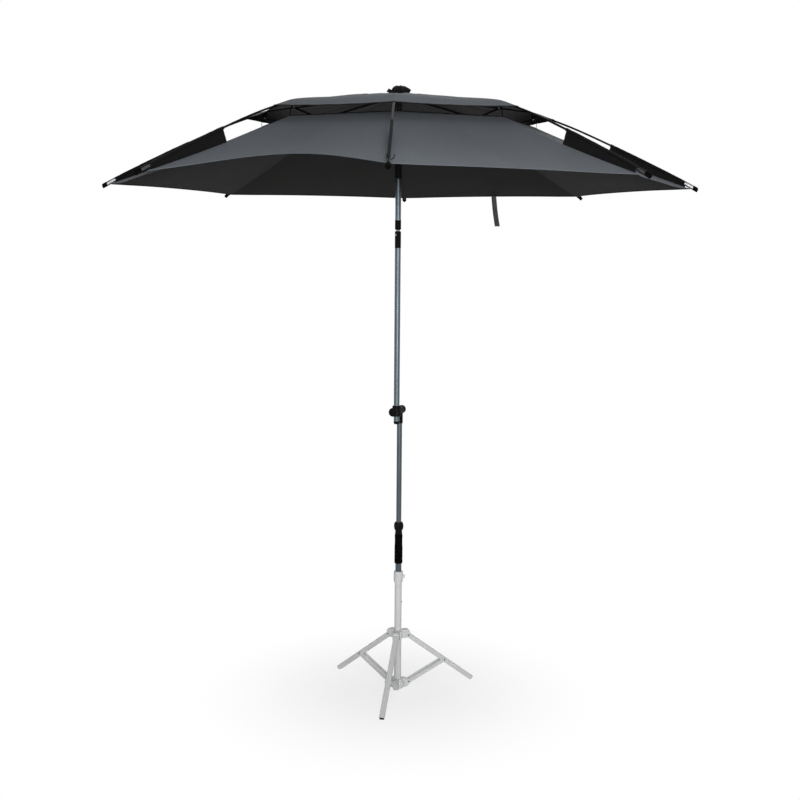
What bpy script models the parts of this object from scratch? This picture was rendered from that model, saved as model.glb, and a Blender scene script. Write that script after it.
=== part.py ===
# Fishing umbrella with a vented canopy, tilting mast, universal clamp and folding tripod.
# Metres, +Z up. The floor is z = 0 and the canopy's pole stands on x = y = 0.
import math

import bmesh
import bpy
from mathutils import Matrix, Vector

# Fits and facets
GAP = 0.0003
OVERRUN = 0.003
EMBED = 0.001
ROUND_STEPS = 24
SMALL_STEPS = 12
TINY_STEPS = 8
ARC_STEPS = 4
WIDE_ARC_STEPS = 6

# Canopy frame
RIB_COUNT = 8
CANOPY_TURN = math.radians(-1.2)
CANOPY_RADIUS = 1.200
CANOPY_DROP = 0.3505
CROWN_PIVOT_HEIGHT = 2.4625
CROWN_PIVOT_RADIUS = 0.030
RIB_BEND_SHARES = (
    (0.083, 0.013),
    (0.2875, 0.087),
    (0.4375, 0.1555),
    (0.50, 0.224),
    (0.571, 0.3124),
    (0.70, 0.5036),
    (0.964, 0.934),
    (1.0, 1.0),
)
RIB_SECTION_SHARES = (0.12, 0.2875, 0.40, 0.45, 0.50, 0.56, 0.63, 0.70, 0.82)

# Rib rod, its eye, the stretcher lug, the metal end and the tip cap
ROD_WIDTH = 0.008
ROD_HEIGHT = 0.007
ROD_CHAMFER = 0.0014
ROD_START = 0.012
PLATE_THICKNESS = 0.0034
EYE_RADIUS = 0.0045
CROWN_PIN_RADIUS = 0.0015
RIVET_PIVOT_RADIUS = 0.535
RIVET_DROP = 0.0235
LUG_RADIUS = 0.0050
LUG_ROOT = 0.024
RIVET_RADIUS = 0.0020
RIVET_HEAD_RADIUS = 0.0032
RIVET_HEAD_THICKNESS = 0.0010
END_FERRULE_WIDTH = 0.010
END_FERRULE_HEIGHT = 0.012
END_FERRULE_SINK = 0.0025
END_FERRULE_RADIUS = 1.130
END_FERRULE_LENGTH = 0.056
END_FERRULE_STEP = 0.002
TIP_SIDE = 0.016
TIP_LENGTH = 0.022
TIP_SOCKET_DEPTH = 0.008
TIP_ROUNDING = 0.0025

# Stretchers, folded from strip into a channel that opens upwards
CHANNEL_WIDTH = 0.0070
CHANNEL_WALL = 0.0012
CHANNEL_LIP = 0.0025
CHANNEL_DEPTH = 0.0085
CHANNEL_END = 0.0045
CHANNEL_WEB_SETBACK = 0.008

# Runner
RUNNER_PIVOT_RADIUS = 0.035
RUNNER_DROP = 0.2005
RUNNER_RISE = 0.013
RUNNER_FALL = 0.101
RUNNER_PIVOT_HEIGHT = CROWN_PIVOT_HEIGHT - RUNNER_DROP
RUNNER_TOP = RUNNER_PIVOT_HEIGHT + RUNNER_RISE
RUNNER_BOTTOM = RUNNER_PIVOT_HEIGHT - RUNNER_FALL
RUNNER_BORE_RADIUS = 0.0126
RUNNER_RADIUS = 0.0137
RUNNER_FLARE_RADIUS = 0.0152
RUNNER_FLARE_HEIGHT = 0.012
RUNNER_FLANGE_RADIUS = 0.024
RUNNER_FLANGE_HEIGHT = 0.018
RUNNER_LUG_RADIUS = 0.0045

# Crown hub and its gathered cover
CROWN_RADIUS = 0.037
CROWN_DEPTH_BELOW = 0.008
CROWN_RISE = 0.0075
CROWN_ROOF = 0.0035
CROWN_SLOT_INNER = 0.0245
CROWN_PIN_REACH = 0.0040
COVER_RADIUS = 0.041
COVER_HEIGHT = 0.0335
COVER_LOBES = 12
COVER_LOBE_DEPTH = 0.0030
COVER_RING_SHARES = ((0.86, 0.0), (1.0, 0.16), (0.93, 0.55), (0.66, 0.90), (0.34, 1.0))
COVER_DIMPLE_SHARE = 0.88

# Canopy cloth
CLOTH = 0.0012
CLOTH_STEPS = 4
ROD_TO_CLOTH = 0.0010
VENT_RADIUS = 0.600
VENT_SAG = 0.012
SKIRT_INNER_RADIUS = 0.545
SKIRT_OUTER_RADIUS = 1.135
SKIRT_STANDOFF = 0.050
SKIRT_CORNER_STANDOFF = 0.023
SKIRT_HOLLOW_SHARE = 0.12
SKIRT_ROWS = 6
SKIRT_SAG = 0.008
HEM_ARCH_SHARE = 0.015
FRONT_HEM_ARCH_SHARE = 0.26
FRONT_PANEL = 5
WEB_THICKNESS = 0.002
WEB_START_RADIUS = 0.830
WEB_ROWS = 5
TIE_RADIUS = 0.560
TIE_WIDTH = 0.006

# Closure strap that hangs from the rear hem
STRAP_WIDTH = 0.023
STRAP_THICKNESS = 0.002
STRAP_LENGTH = 0.145
STRAP_PANEL = 1
STRAP_ALONG_HEM_SHARE = 0.447
STRAP_INSET_SHARE = 0.985

# Canopy pole, tilt joint and main pole
CANOPY_POLE_RADIUS = 0.0117
CANOPY_POLE_BORE = 0.0103
TILT_HEIGHT = 1.9426
TILT_RADIUS = 0.0124
TILT_FERRULE_RISE = 0.0419
TILT_HOUSING_DROP = 0.0701
TILT_FERRULE_TOP = TILT_HEIGHT + TILT_FERRULE_RISE
TILT_HOUSING_BOTTOM = TILT_HEIGHT - TILT_HOUSING_DROP
TILT_BEVEL = math.radians(18.5)
TILT_SPIGOT = 0.035
TILT_TONGUE_THICKNESS = 0.0080
TILT_EYE_RADIUS = 0.0070
TILT_FORK_THICKNESS = 0.0046
TILT_PIN_RADIUS = 0.0025
BUTTON_RADIUS = 0.0040
BUTTON_DROP = 0.0170
BUTTON_POCKET_SHARE = 0.40
BUTTON_TRAVEL = 0.0040
BUTTON_CROWN = 0.0001
BUTTON_AZIMUTH = math.radians(225.0)
MAIN_POLE_RADIUS = 0.0120
MAIN_POLE_BORE = 0.0108
MAIN_POLE_TAIL = 0.042
END_PLUG_LENGTH = 0.012
END_PLUG_TAPER_SHARE = 0.78
END_PLUG_SPIGOT = 0.021

# Universal clamp between the two poles
CLAMP_HEIGHT = 1.206
MAIN_POLE_BOTTOM = CLAMP_HEIGHT - MAIN_POLE_TAIL
CLAMP_AZIMUTH = math.radians(70.0)
CLAMP_SPAN = 0.036
CLAMP_BLOCK_RADIUS = 0.0180
CLAMP_BLOCK_HEIGHT = 0.044
CLAMP_BORE_GAP = 0.0003
CLAMP_ROUNDING = 0.0020
SWIVEL_FACE = 0.0195
SWIVEL_RADIUS = 0.0170
SCREW_BOSS_REACH = 0.0300
SCREW_BOSS_RADIUS = 0.0095
SCREW_RADIUS = 0.0040
BOLT_HEAD_RADIUS = 0.0065
BOLT_HEAD_THICKNESS = 0.0026
BOLT_TAIL = 0.0120
HEAD_RADIUS = 0.0135
HEAD_EYE_RADIUS = 0.0165
HEAD_DEPTH = 0.0303
HEAD_DROP = 0.055
HEAD_BOTTOM = CLAMP_HEIGHT - HEAD_DROP
HEAD_SOCKET_DEPTH = 0.033
KNOB_LENGTH = 0.018
FRONT_KNOB_RADIUS = 0.0185
REAR_KNOB_RADIUS = 0.0175
KNOB_LOBES = 10
KNOB_LOBE_DEPTH = 0.0010
KNOB_NECK_RADIUS = 0.0105
KNOB_NECK_SHARE = 0.22
KNOB_DISH_DEPTH = 0.0030
KNOB_RIM_SHARE = 0.74
KNOB_BEVEL = 0.0018

# Tripod
TRIPOD_TUBE_RADIUS = 0.0150
TRIPOD_TUBE_WALL = 0.0017
TRIPOD_TUBE_BOTTOM = 0.006
COLLAR_BOTTOM = 0.4687
COLLAR_HEIGHT = 0.0481
COLLAR_TOP = COLLAR_BOTTOM + COLLAR_HEIGHT
COLLAR_RADIUS = 0.0195
COLLAR_FOOT_SHARE = 0.90
COLLAR_ROOF = 0.008
THUMB_RISE = 0.0253
THUMB_HEIGHT = COLLAR_BOTTOM + THUMB_RISE
THUMB_SCREW_RADIUS = 0.0030
THUMB_HEAD_RADIUS = 0.0078
THUMB_HEAD_LENGTH = 0.0065
THUMB_BOSS_RADIUS = 0.0085
THUMB_BOSS_PROUD = 0.0015
LEG_COUNT = 3
LEG_AZIMUTH = math.radians(19.75)
LEG_SIDE = 0.020
LEG_WALL = 0.0014
LEG_ROUNDING = 0.0020
LEG_OVERHANG = 0.010
LEG_PIVOT_RADIUS = 0.044
LEG_PIVOT_HEIGHT = 0.234
FOOT_RADIUS = 0.336
LEG_END_HEIGHT = 0.010
STRUT_SHARE_OF_LEG = 0.572
PLUG_LENGTH = 0.009
PLUG_SPIGOT = 0.020
EAR_THICKNESS = 0.0025
HUB_RADIUS = 0.0215
HUB_BELOW = 0.0105
HUB_ABOVE = 0.0369
HUB_EAR_REACH = 0.011
HUB_ROOF = 0.0025
HUB_SHOULDER_SHARE = 0.45
PIVOT_RADIUS = 0.0030
PIVOT_HEAD_RADIUS = 0.0046
PIVOT_HEAD_THICKNESS = 0.0015
STRUT_PIVOT_RADIUS = 0.047
STRUT_PIVOT_HEIGHT = 0.028
STRUT_WIDTH = 0.016
LOWER_HUB_BOTTOM = 0.004
LOWER_HUB_TOP = 0.044
LOWER_HUB_RADIUS = 0.0240
LOWER_HUB_FLOOR = 0.0017
LOWER_EAR_REACH = 0.0095

# Lower mast: inner pole, twist lock, grip and outer tube
INNER_POLE_RADIUS = 0.0109
INNER_POLE_BORE = 0.0097
INNER_POLE_OVERLAP = 0.186
OUTER_TUBE_RADIUS = 0.0130
OUTER_TUBE_BORE = 0.0112
OUTER_TUBE_BOTTOM = 0.060
GRIP_STANDOFF = 0.0348
GRIP_LENGTH = 0.1258
GRIP_RADIUS = 0.0170
GRIP_BOTTOM = COLLAR_TOP + GRIP_STANDOFF
GRIP_TOP = GRIP_BOTTOM + GRIP_LENGTH
NECK_RADIUS = 0.0142
NECK_STEP = 0.0016
NECK_LENGTH = 0.0157
NECK_BOTTOM = GRIP_TOP + NECK_STEP
TWIST_HEIGHT = 0.0345
TWIST_RADIUS = 0.0200
TWIST_FLUTES = 12
TWIST_FLUTE_DEPTH = 0.0008
TWIST_END_SHARE = 0.80
TWIST_BARREL_SHARES = (0.32, 0.68)
TWIST_BOTTOM = NECK_BOTTOM + NECK_LENGTH
TWIST_TOP = TWIST_BOTTOM + TWIST_HEIGHT
COLLET_RISE = 0.0213
COLLET_SLOTS = 2
COLLET_SLOT_WIDTH = 0.002
COLLET_SLOT_LENGTH = 0.018
COLLET_TOP = TWIST_BOTTOM + COLLET_RISE
INNER_POLE_BOTTOM = COLLET_TOP - INNER_POLE_OVERLAP
GRIP_PROFILE_SHARES = (
    (0.0, 0.93), (0.04, 1.0), (0.45, 1.0), (0.62, 0.965), (0.78, 0.925), (0.92, 0.955), (1.0, 0.90),
)

# Where the lower mast stands, from the clamp's span
MAST_X = CLAMP_SPAN * math.cos(CLAMP_AZIMUTH)
MAST_Y = CLAMP_SPAN * math.sin(CLAMP_AZIMUTH)
FULL_TURN = 2 * math.pi

FINISHES = {
    "black_steel": ((0.012, 0.012, 0.013), 0.45, 0.6),
    "steel": ((0.55, 0.56, 0.58), 0.35, 1.0),
    "black_plastic": ((0.010, 0.010, 0.011), 0.50, 0.0),
    "grey_cloth": ((0.095, 0.105, 0.115), 0.80, 0.0),
    "black_cloth": ((0.010, 0.010, 0.011), 0.85, 0.0),
    "strap_web": ((0.075, 0.078, 0.082), 0.85, 0.0),
    "blue_steel": ((0.17, 0.23, 0.26), 0.28, 0.9),
    "foam": ((0.009, 0.009, 0.010), 0.90, 0.0),
    "grey_paint": ((0.58, 0.60, 0.61), 0.45, 0.0),
    "black_rubber": ((0.012, 0.012, 0.012), 0.75, 0.0),
}


def clear_scene():
    for item in list(bpy.data.objects):
        bpy.data.objects.remove(item)


def finish_material(finish):
    """The finish's material, made the first time that a piece asks for it."""
    known = bpy.data.materials.get(finish)
    if known:
        return known
    colour, roughness, metallic = FINISHES[finish]
    material = bpy.data.materials.new(finish)
    material.use_nodes = True
    shader = material.node_tree.nodes["Principled BSDF"]
    shader.inputs["Base Color"].default_value = (*colour, 1.0)
    shader.inputs["Roughness"].default_value = roughness
    shader.inputs["Metallic"].default_value = metallic
    return material


def piece(name, mesh, finish, place=(0, 0, 0), turn=(0, 0, 0), parent=None):
    """One named sub-part with its own material, shaded smooth apart from its sharp edges."""
    made = bpy.data.objects.new(name, mesh)
    bpy.context.collection.objects.link(made)
    mesh.materials.clear()
    mesh.materials.append(finish_material(finish))
    mesh.shade_smooth()
    mesh.set_sharp_from_angle(angle=math.radians(35))
    made.parent = parent
    made.location = place
    made.rotation_euler = turn
    return made


def mesh_from(vertices, faces):
    """A closed mesh from points and faces, with its faces turned outwards."""
    shell = bmesh.new()
    corners = [shell.verts.new(point) for point in vertices]
    for face in faces:
        shell.faces.new([corners[index] for index in face])
    bmesh.ops.recalc_face_normals(shell, faces=shell.faces)
    mesh = bpy.data.meshes.new("shape")
    shell.to_mesh(mesh)
    shell.free()
    return mesh


def loft(rings, closed_ends=True, joined_ends=False):
    """Skin rings of as many points each, and cap the ends or join the last ring to the first."""
    count = len(rings[0])
    vertices = [point for ring in rings for point in ring]
    faces = []
    last = len(rings) if joined_ends else len(rings) - 1
    for row in range(last):
        below = row * count
        above = ((row + 1) % len(rings)) * count
        for step in range(count):
            after = (step + 1) % count
            faces.append((below + step, below + after, above + after, above + step))
    if closed_ends and not joined_ends:
        faces.append(tuple(range(count)))
        faces.append(tuple(range(len(vertices) - count, len(vertices))))
    return mesh_from(vertices, faces)


def turned(profile, steps=ROUND_STEPS, hollow=False):
    """Turn a profile of (radius, height) points about Z. A hollow profile is a closed loop."""
    angles = [FULL_TURN * step / steps for step in range(steps)]
    rings = [
        [(radius * math.cos(angle), radius * math.sin(angle), height) for angle in angles]
        for radius, height in profile
    ]
    return loft(rings, closed_ends=not hollow, joined_ends=hollow)


def tube(outer, inner, low, high, steps=ROUND_STEPS):
    return turned(((inner, low), (outer, low), (outer, high), (inner, high)), steps, hollow=True)


def rod(radius, low, high, steps=TINY_STEPS):
    return turned(((radius, low), (radius, high)), steps)


def placed(mesh, *matrices):
    """The mesh, moved by each matrix in turn."""
    for matrix in matrices:
        mesh.transform(matrix)
    return mesh


def shift(x=0.0, y=0.0, z=0.0):
    return Matrix.Translation(Vector((x, y, z)))


def spin_z(angle):
    return Matrix.Rotation(angle, 4, "Z")


def along_x(mesh):
    """Lay a shape that was made along Z along X, with its top at +X."""
    return placed(mesh, Matrix.Rotation(math.pi / 2, 4, "Y"))


def along_y(mesh):
    return placed(mesh, Matrix.Rotation(-math.pi / 2, 4, "X"))


def prism(outline, low, high):
    """A flat plate: an outline of (x, z) points, from y = low to y = high."""
    return loft([[(x, side, z) for x, z in outline] for side in (low, high)])


def block(x_low, x_high, y_low, y_high, z_low, z_high):
    outline = ((x_low, z_low), (x_high, z_low), (x_high, z_high), (x_low, z_high))
    return prism(outline, y_low, y_high)


def arc(x, z, radius, start, end, steps=ARC_STEPS):
    """Points along an arc about (x, z), its ends included, with angles in degrees from +X."""
    angles = [math.radians(start + (end - start) * step / steps) for step in range(steps + 1)]
    return [(x + radius * math.cos(angle), z + radius * math.sin(angle)) for angle in angles]


def with_modifiers(mesh, settings):
    """The mesh after a list of (type, values) modifiers."""
    work = bpy.data.objects.new("work", mesh)
    bpy.context.collection.objects.link(work)
    for kind, values in settings:
        modifier = work.modifiers.new(kind.title(), kind)
        for key, value in values.items():
            setattr(modifier, key, value)
    evaluated = work.evaluated_get(bpy.context.evaluated_depsgraph_get())
    result = bpy.data.meshes.new_from_object(evaluated)
    bpy.data.objects.remove(work)
    return result


def merged(base, joined=(), cut=(), within=()):
    """Join closed shapes to a base, cut others out of it, and keep what is within the rest."""
    helpers = []
    settings = []
    for operation, shapes in (("UNION", joined), ("DIFFERENCE", cut), ("INTERSECT", within)):
        for shape in shapes:
            helper = bpy.data.objects.new("helper", shape)
            bpy.context.collection.objects.link(helper)
            helpers.append(helper)
            settings.append(("BOOLEAN", {"operation": operation, "object": helper, "solver": "EXACT"}))
    result = with_modifiers(base, settings)
    for helper in helpers:
        bpy.data.objects.remove(helper)
    return result


def rounded(mesh, width, segments=1):
    """Chamfer or round the sharp edges of a shape."""
    values = {"width": width, "segments": segments, "limit_method": "ANGLE", "use_clamp_overlap": True}
    return with_modifiers(mesh, [("BEVEL", values)])


# The line of a rib, which the cloth follows too
def rib_line():
    """The rib's bend as (radius, height) points, from its pivot to its tip."""
    points = [(CROWN_PIVOT_RADIUS, CROWN_PIVOT_HEIGHT)]
    for radius_share, drop_share in RIB_BEND_SHARES:
        points.append((CANOPY_RADIUS * radius_share, CROWN_PIVOT_HEIGHT - CANOPY_DROP * drop_share))
    return points


def line_slopes(points):
    """The slope at each point, as the mean of the slopes on its two sides."""
    steps = [(b[1] - a[1]) / (b[0] - a[0]) for a, b in zip(points, points[1:])]
    middle = [(before + after) / 2 for before, after in zip(steps, steps[1:])]
    return [steps[0], *middle, steps[-1]]


RIB_LINE = rib_line()
RIB_SLOPES = line_slopes(RIB_LINE)


def rib_height(radius):
    """The height of the rib's middle line at a radius, on a smooth curve through its points."""
    index = 0
    while index < len(RIB_LINE) - 2 and radius > RIB_LINE[index + 1][0]:
        index += 1
    (r0, z0), (r1, z1) = RIB_LINE[index], RIB_LINE[index + 1]
    span = r1 - r0
    t = (radius - r0) / span
    ease = t * t * (3 - 2 * t)
    lead = t * (1 - t) ** 2
    trail = t * t * (t - 1)
    return z0 + (z1 - z0) * ease + span * (RIB_SLOPES[index] * lead + RIB_SLOPES[index + 1] * trail)


def rib_slope(radius):
    """The rib's slope there, as an angle in the rib's plane."""
    step = CANOPY_RADIUS * EMBED
    return math.atan2(rib_height(radius) - rib_height(radius - step), step)


def rib_angle(index):
    return CANOPY_TURN + FULL_TURN * index / RIB_COUNT


ROD_STATIONS = [
    CROWN_PIVOT_RADIUS + ROD_START,
    *(CANOPY_RADIUS * share for share in RIB_SECTION_SHARES),
    END_FERRULE_RADIUS,
]


def rod_height(radius):
    """The height of the rod's middle line, which is straight between its sections."""
    index = 0
    while index < len(ROD_STATIONS) - 2 and radius > ROD_STATIONS[index + 1]:
        index += 1
    r0, r1 = ROD_STATIONS[index], ROD_STATIONS[index + 1]
    z0, z1 = rib_height(r0), rib_height(r1)
    return z0 + (z1 - z0) * (radius - r0) / (r1 - r0)


def rod_underside(radius, clearance=GAP):
    """How high cloth may reach under the rod at a radius."""
    return rod_height(radius) - (ROD_HEIGHT / 2 + clearance) / math.cos(rib_slope(radius))


def rod_topside(radius):
    """How low cloth may come over the rod at a radius."""
    return rod_height(radius) + (ROD_HEIGHT / 2) / math.cos(rib_slope(radius)) + ROD_TO_CLOTH


def rib_section(radius, width, height, sink=0.0):
    """One section across the rod, square to its slope, in the rib's own frame."""
    slope = rib_slope(radius)
    half = width / 2
    rise = height / 2
    cut = ROD_CHAMFER
    outline = (
        (half, rise - cut), (half - cut, rise), (cut - half, rise), (-half, rise - cut),
        (-half, -rise), (half, -rise),
    )
    x = radius - CROWN_PIVOT_RADIUS
    z = rib_height(radius) - CROWN_PIVOT_HEIGHT
    return [
        (x - (up - sink) * math.sin(slope), side, z + (up - sink) * math.cos(slope))
        for side, up in outline
    ]


RIVET_PIVOT_HEIGHT = rib_height(RIVET_PIVOT_RADIUS) - RIVET_DROP


def rib_mesh():
    """A rod with an eye at the crown, a lug for the stretcher and a metal end."""
    rings = [rib_section(radius, ROD_WIDTH, ROD_HEIGHT) for radius in ROD_STATIONS]
    end = END_FERRULE_RADIUS
    for radius in (end + END_FERRULE_STEP, end + END_FERRULE_LENGTH):
        rings.append(rib_section(radius, END_FERRULE_WIDTH, END_FERRULE_HEIGHT, END_FERRULE_SINK))
    shaft = loft(rings)
    half = PLATE_THICKNESS / 2
    neck = ROD_START + OVERRUN
    low = ROD_HEIGHT / 2
    eye = prism([*arc(0, 0, EYE_RADIUS, 90, 270), (neck, -low), (neck, low)], -half, half)
    eye_hole = along_y(rod(CROWN_PIN_RADIUS + GAP, -half - OVERRUN, half + OVERRUN))
    x = RIVET_PIVOT_RADIUS - CROWN_PIVOT_RADIUS
    z = RIVET_PIVOT_HEIGHT - CROWN_PIVOT_HEIGHT
    root = LUG_ROOT / 2
    inner_root = (x - root, rib_height(RIVET_PIVOT_RADIUS - root) - CROWN_PIVOT_HEIGHT)
    outer_root = (x + root, rib_height(RIVET_PIVOT_RADIUS + root) - CROWN_PIVOT_HEIGHT)
    lug = prism([*arc(x, z, LUG_RADIUS, 180, 360), outer_root, inner_root], -half, half)
    lug_hole = along_y(rod(RIVET_RADIUS + GAP, -half - OVERRUN, half + OVERRUN))
    placed(lug_hole, shift(x, 0, z))
    return merged(shaft, (eye, lug), (eye_hole, lug_hole))


def tip_mesh():
    """A moulded cap over the rod's metal end, along +X from its mouth."""
    half = TIP_SIDE / 2
    body = rounded(block(0, TIP_LENGTH, -half, half, -half, half), TIP_ROUNDING)
    wide = END_FERRULE_WIDTH / 2 + GAP
    tall = END_FERRULE_HEIGHT / 2 + GAP
    socket = block(-OVERRUN, TIP_SOCKET_DEPTH, -wide, wide, -tall, tall)
    return merged(body, cut=(socket,))


def stretcher_length():
    run = RIVET_PIVOT_RADIUS - RUNNER_PIVOT_RADIUS
    rise = RIVET_PIVOT_HEIGHT - RUNNER_PIVOT_HEIGHT
    return math.hypot(run, rise)


def stretcher_mesh():
    """A channel along +X from its rivet, open at its top (+Z), with round cheeks at both ends."""
    length = stretcher_length()
    half = CHANNEL_WIDTH / 2
    inside = half - CHANNEL_WALL
    low = CHANNEL_LIP - CHANNEL_DEPTH
    cheek_low = -CHANNEL_END
    slope_in = CHANNEL_WEB_SETBACK
    outline = [
        *arc(0, 0, CHANNEL_END, 150, 270, ARC_STEPS // 2),
        (slope_in, low), (length - slope_in, low),
        *arc(length, 0, CHANNEL_END, 270, 390, ARC_STEPS // 2),
        (length, CHANNEL_LIP), (0, CHANNEL_LIP),
    ]
    body = prism(outline, -half, half)
    reach = CHANNEL_END + OVERRUN
    groove = block(-reach, length + reach, -inside, inside, low + CHANNEL_WALL, CHANNEL_LIP + OVERRUN)
    mouths = [
        block(near, far, -inside, inside, cheek_low + low, CHANNEL_LIP)
        for near, far in ((-reach, slope_in), (length - slope_in, length + reach))
    ]
    rivet = along_y(rod(RIVET_RADIUS, -half, half))
    heads = [rivet_head(half, RIVET_HEAD_RADIUS, RIVET_HEAD_THICKNESS, side) for side in (-1, 1)]
    far_heads = [
        placed(rivet_head(half, RIVET_HEAD_RADIUS, RIVET_HEAD_THICKNESS, side), shift(length))
        for side in (-1, 1)
    ]
    channel = merged(body, cut=(groove, *mouths))
    return merged(channel, (rivet, *heads, *far_heads))


def rivet_head(face, radius, thickness, side, seat=EMBED / 2):
    """A rivet's low round head on a face at y = face, on either side."""
    low, high = sorted((side * (face - seat), side * (face + thickness)))
    return along_y(rod(radius, low, high))


def crown_hub_mesh():
    """A slotted disc with a pin across each slot, and a roof over the pole's end."""
    low = -CROWN_DEPTH_BELOW
    high = CROWN_RISE
    roof = high + CROWN_ROOF
    bore = CANOPY_POLE_RADIUS + GAP
    disc = turned(((CROWN_RADIUS, low), (CROWN_RADIUS, roof)))
    slots = []
    pins = []
    half = PLATE_THICKNESS / 2 + GAP
    reach = half + CROWN_PIN_REACH
    for index in range(RIB_COUNT):
        turn = spin_z(rib_angle(index))
        slot = block(CROWN_SLOT_INNER, CROWN_RADIUS + OVERRUN, -half, half, low - OVERRUN, high)
        slots.append(placed(slot, turn))
        pin = along_y(rod(CROWN_PIN_RADIUS, -reach, reach, TINY_STEPS))
        pins.append(placed(pin, shift(CROWN_PIVOT_RADIUS), turn))
    pole_bore = rod(bore, low - OVERRUN, high, ROUND_STEPS)
    return merged(merged(disc, cut=(pole_bore, *slots)), pins)


def cover_mesh():
    """The gathered cover on the crown: lobed rings that close in a dimple."""
    steps = 2 * COVER_LOBES
    rings = []
    for radius_share, height_share in COVER_RING_SHARES:
        ring = []
        for step in range(steps):
            angle = FULL_TURN * step / steps
            radius = COVER_RADIUS * radius_share - COVER_LOBE_DEPTH * radius_share * (step % 2)
            ring.append((radius * math.cos(angle), radius * math.sin(angle), COVER_HEIGHT * height_share))
        rings.append(ring)
    inner = COVER_RING_SHARES[-1][0] / 2
    rings.append([(x * inner, y * inner, COVER_HEIGHT * COVER_DIMPLE_SHARE) for x, y, _ in rings[-1]])
    return loft(rings)


# Cloth
def cloth_points(row, thickness):
    """A row of cloth as its upper points and the points below them."""
    return row, [(x, y, z - thickness) for x, y, z in row]


def cloth_solid(rows, thickness, centre=None):
    """Cloth as a closed solid, from rows of upper points that go round, inner row first."""
    count = len(rows[0])
    vertices = []
    for row in rows:
        upper, lower = cloth_points(row, thickness)
        vertices.extend(upper)
        vertices.extend(lower)
    faces = []
    for index in range(len(rows) - 1):
        near = 2 * count * index
        far = near + 2 * count
        for side in (0, count):
            for step in range(count):
                after = (step + 1) % count
                faces.append((near + side + step, near + side + after, far + side + after, far + side + step))
    rims = [2 * count * (len(rows) - 1)]
    if centre is None:
        rims.append(0)
    for rim in rims:
        for step in range(count):
            after = (step + 1) % count
            faces.append((rim + step, rim + after, rim + count + after, rim + count + step))
    if centre is not None:
        for side, level in ((0, 0.0), (count, thickness)):
            vertices.append((centre[0], centre[1], centre[2] - level))
            for step in range(count):
                faces.append((side + step, side + (step + 1) % count, len(vertices) - 1))
    return mesh_from(vertices, faces)


def panel_point(index, share, radius, height):
    """A point on the chord between two ribs, at a share of the way from rib to rib."""
    start = rib_angle(index)
    end = rib_angle(index + 1)
    x = radius * (math.cos(start) * (1 - share) + math.cos(end) * share)
    y = radius * (math.sin(start) * (1 - share) + math.sin(end) * share)
    return x, y, height


def belly(share):
    """0 at both ribs and 1 in the middle of a panel."""
    return 4 * share * (1 - share)


CROWN_TOP = CROWN_PIVOT_HEIGHT + CROWN_RISE + CROWN_ROOF


def vent_canopy_mesh():
    """The cap of cloth over the vent, taut over the ribs and a little slack between them."""
    top = CROWN_TOP + GAP + CLOTH
    rings = [(ROD_STATIONS[0], top)]
    for radius in ROD_STATIONS[1:]:
        if radius <= VENT_RADIUS + GAP:
            rings.append((radius, rod_topside(radius) + CLOTH))
    rows = []
    for radius, level in rings:
        sag = VENT_SAG * (radius / VENT_RADIUS) ** 2
        row = []
        for index in range(RIB_COUNT):
            for step in range(CLOTH_STEPS):
                share = step / CLOTH_STEPS
                row.append(panel_point(index, share, radius, level - sag * belly(share)))
        rows.append(row)
    return cloth_solid(rows, CLOTH, (0, 0, top))


SKIRT_INNER_HEIGHT = rod_height(SKIRT_INNER_RADIUS) - SKIRT_STANDOFF
SKIRT_CORNER_HEIGHT = rod_height(SKIRT_OUTER_RADIUS) - SKIRT_CORNER_STANDOFF


def skirt_radius(share):
    return SKIRT_INNER_RADIUS + (SKIRT_OUTER_RADIUS - SKIRT_INNER_RADIUS) * share


def skirt_height(share):
    """The skirt's height on a rib's line: it hangs a little hollow between its two edges."""
    drop = SKIRT_INNER_HEIGHT - SKIRT_CORNER_HEIGHT
    return SKIRT_INNER_HEIGHT - drop * (share + SKIRT_HOLLOW_SHARE * share * (1 - share))


def hem_share(index, share):
    """How far out the hem is, with the arched opening in the front panel."""
    arch = FRONT_HEM_ARCH_SHARE if index == FRONT_PANEL else HEM_ARCH_SHARE
    return 1 - arch * belly(share)


def skirt_point(index, share, out):
    """A point on top of the skirt: panel, share across it, and share from inner edge to hem."""
    reach = out * hem_share(index, share)
    sag = SKIRT_SAG * belly(share) * math.sin(math.pi * out)
    return panel_point(index, share, skirt_radius(reach), skirt_height(reach) - sag)


def web_plate(start, end, top_of):
    """A flat plate of cloth in a rib's plane, from inside the skirt up to the rod."""
    radii = [start + (end - start) * step / (WEB_ROWS - 1) for step in range(WEB_ROWS)]
    span = SKIRT_OUTER_RADIUS - SKIRT_INNER_RADIUS
    low = [(radius, skirt_height((radius - SKIRT_INNER_RADIUS) / span) - CLOTH / 2) for radius in radii]
    high = [(radius, top_of(radius)) for radius in reversed(radii)]
    half = WEB_THICKNESS / 2
    return prism([*low, *high], -half, half)


def main_canopy_mesh():
    """The skirt with the webs that hang it from the ribs and the ties at its inner corners."""
    rows = []
    for row in range(SKIRT_ROWS + 1):
        out = row / SKIRT_ROWS
        rows.append([
            skirt_point(index, step / CLOTH_STEPS, out)
            for index in range(RIB_COUNT)
            for step in range(CLOTH_STEPS)
        ])
    skirt = cloth_solid(rows, CLOTH)
    hangers = []
    for index in range(RIB_COUNT):
        turn = spin_z(rib_angle(index))
        web_end = END_FERRULE_RADIUS - TIE_WIDTH / 2
        hangers.append(placed(web_plate(WEB_START_RADIUS, web_end, rod_underside), turn))
        hangers.append(placed(web_plate(TIE_RADIUS, TIE_RADIUS + TIE_WIDTH, rod_underside), turn))
    return merged(skirt, hangers)


def strap_mesh():
    """A flat web that hangs from its sewn end, which is at its origin."""
    half = STRAP_WIDTH / 2
    thick = STRAP_THICKNESS / 2
    return rounded(block(-half, half, -thick, thick, -STRAP_LENGTH, 0), thick / 2)


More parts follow.
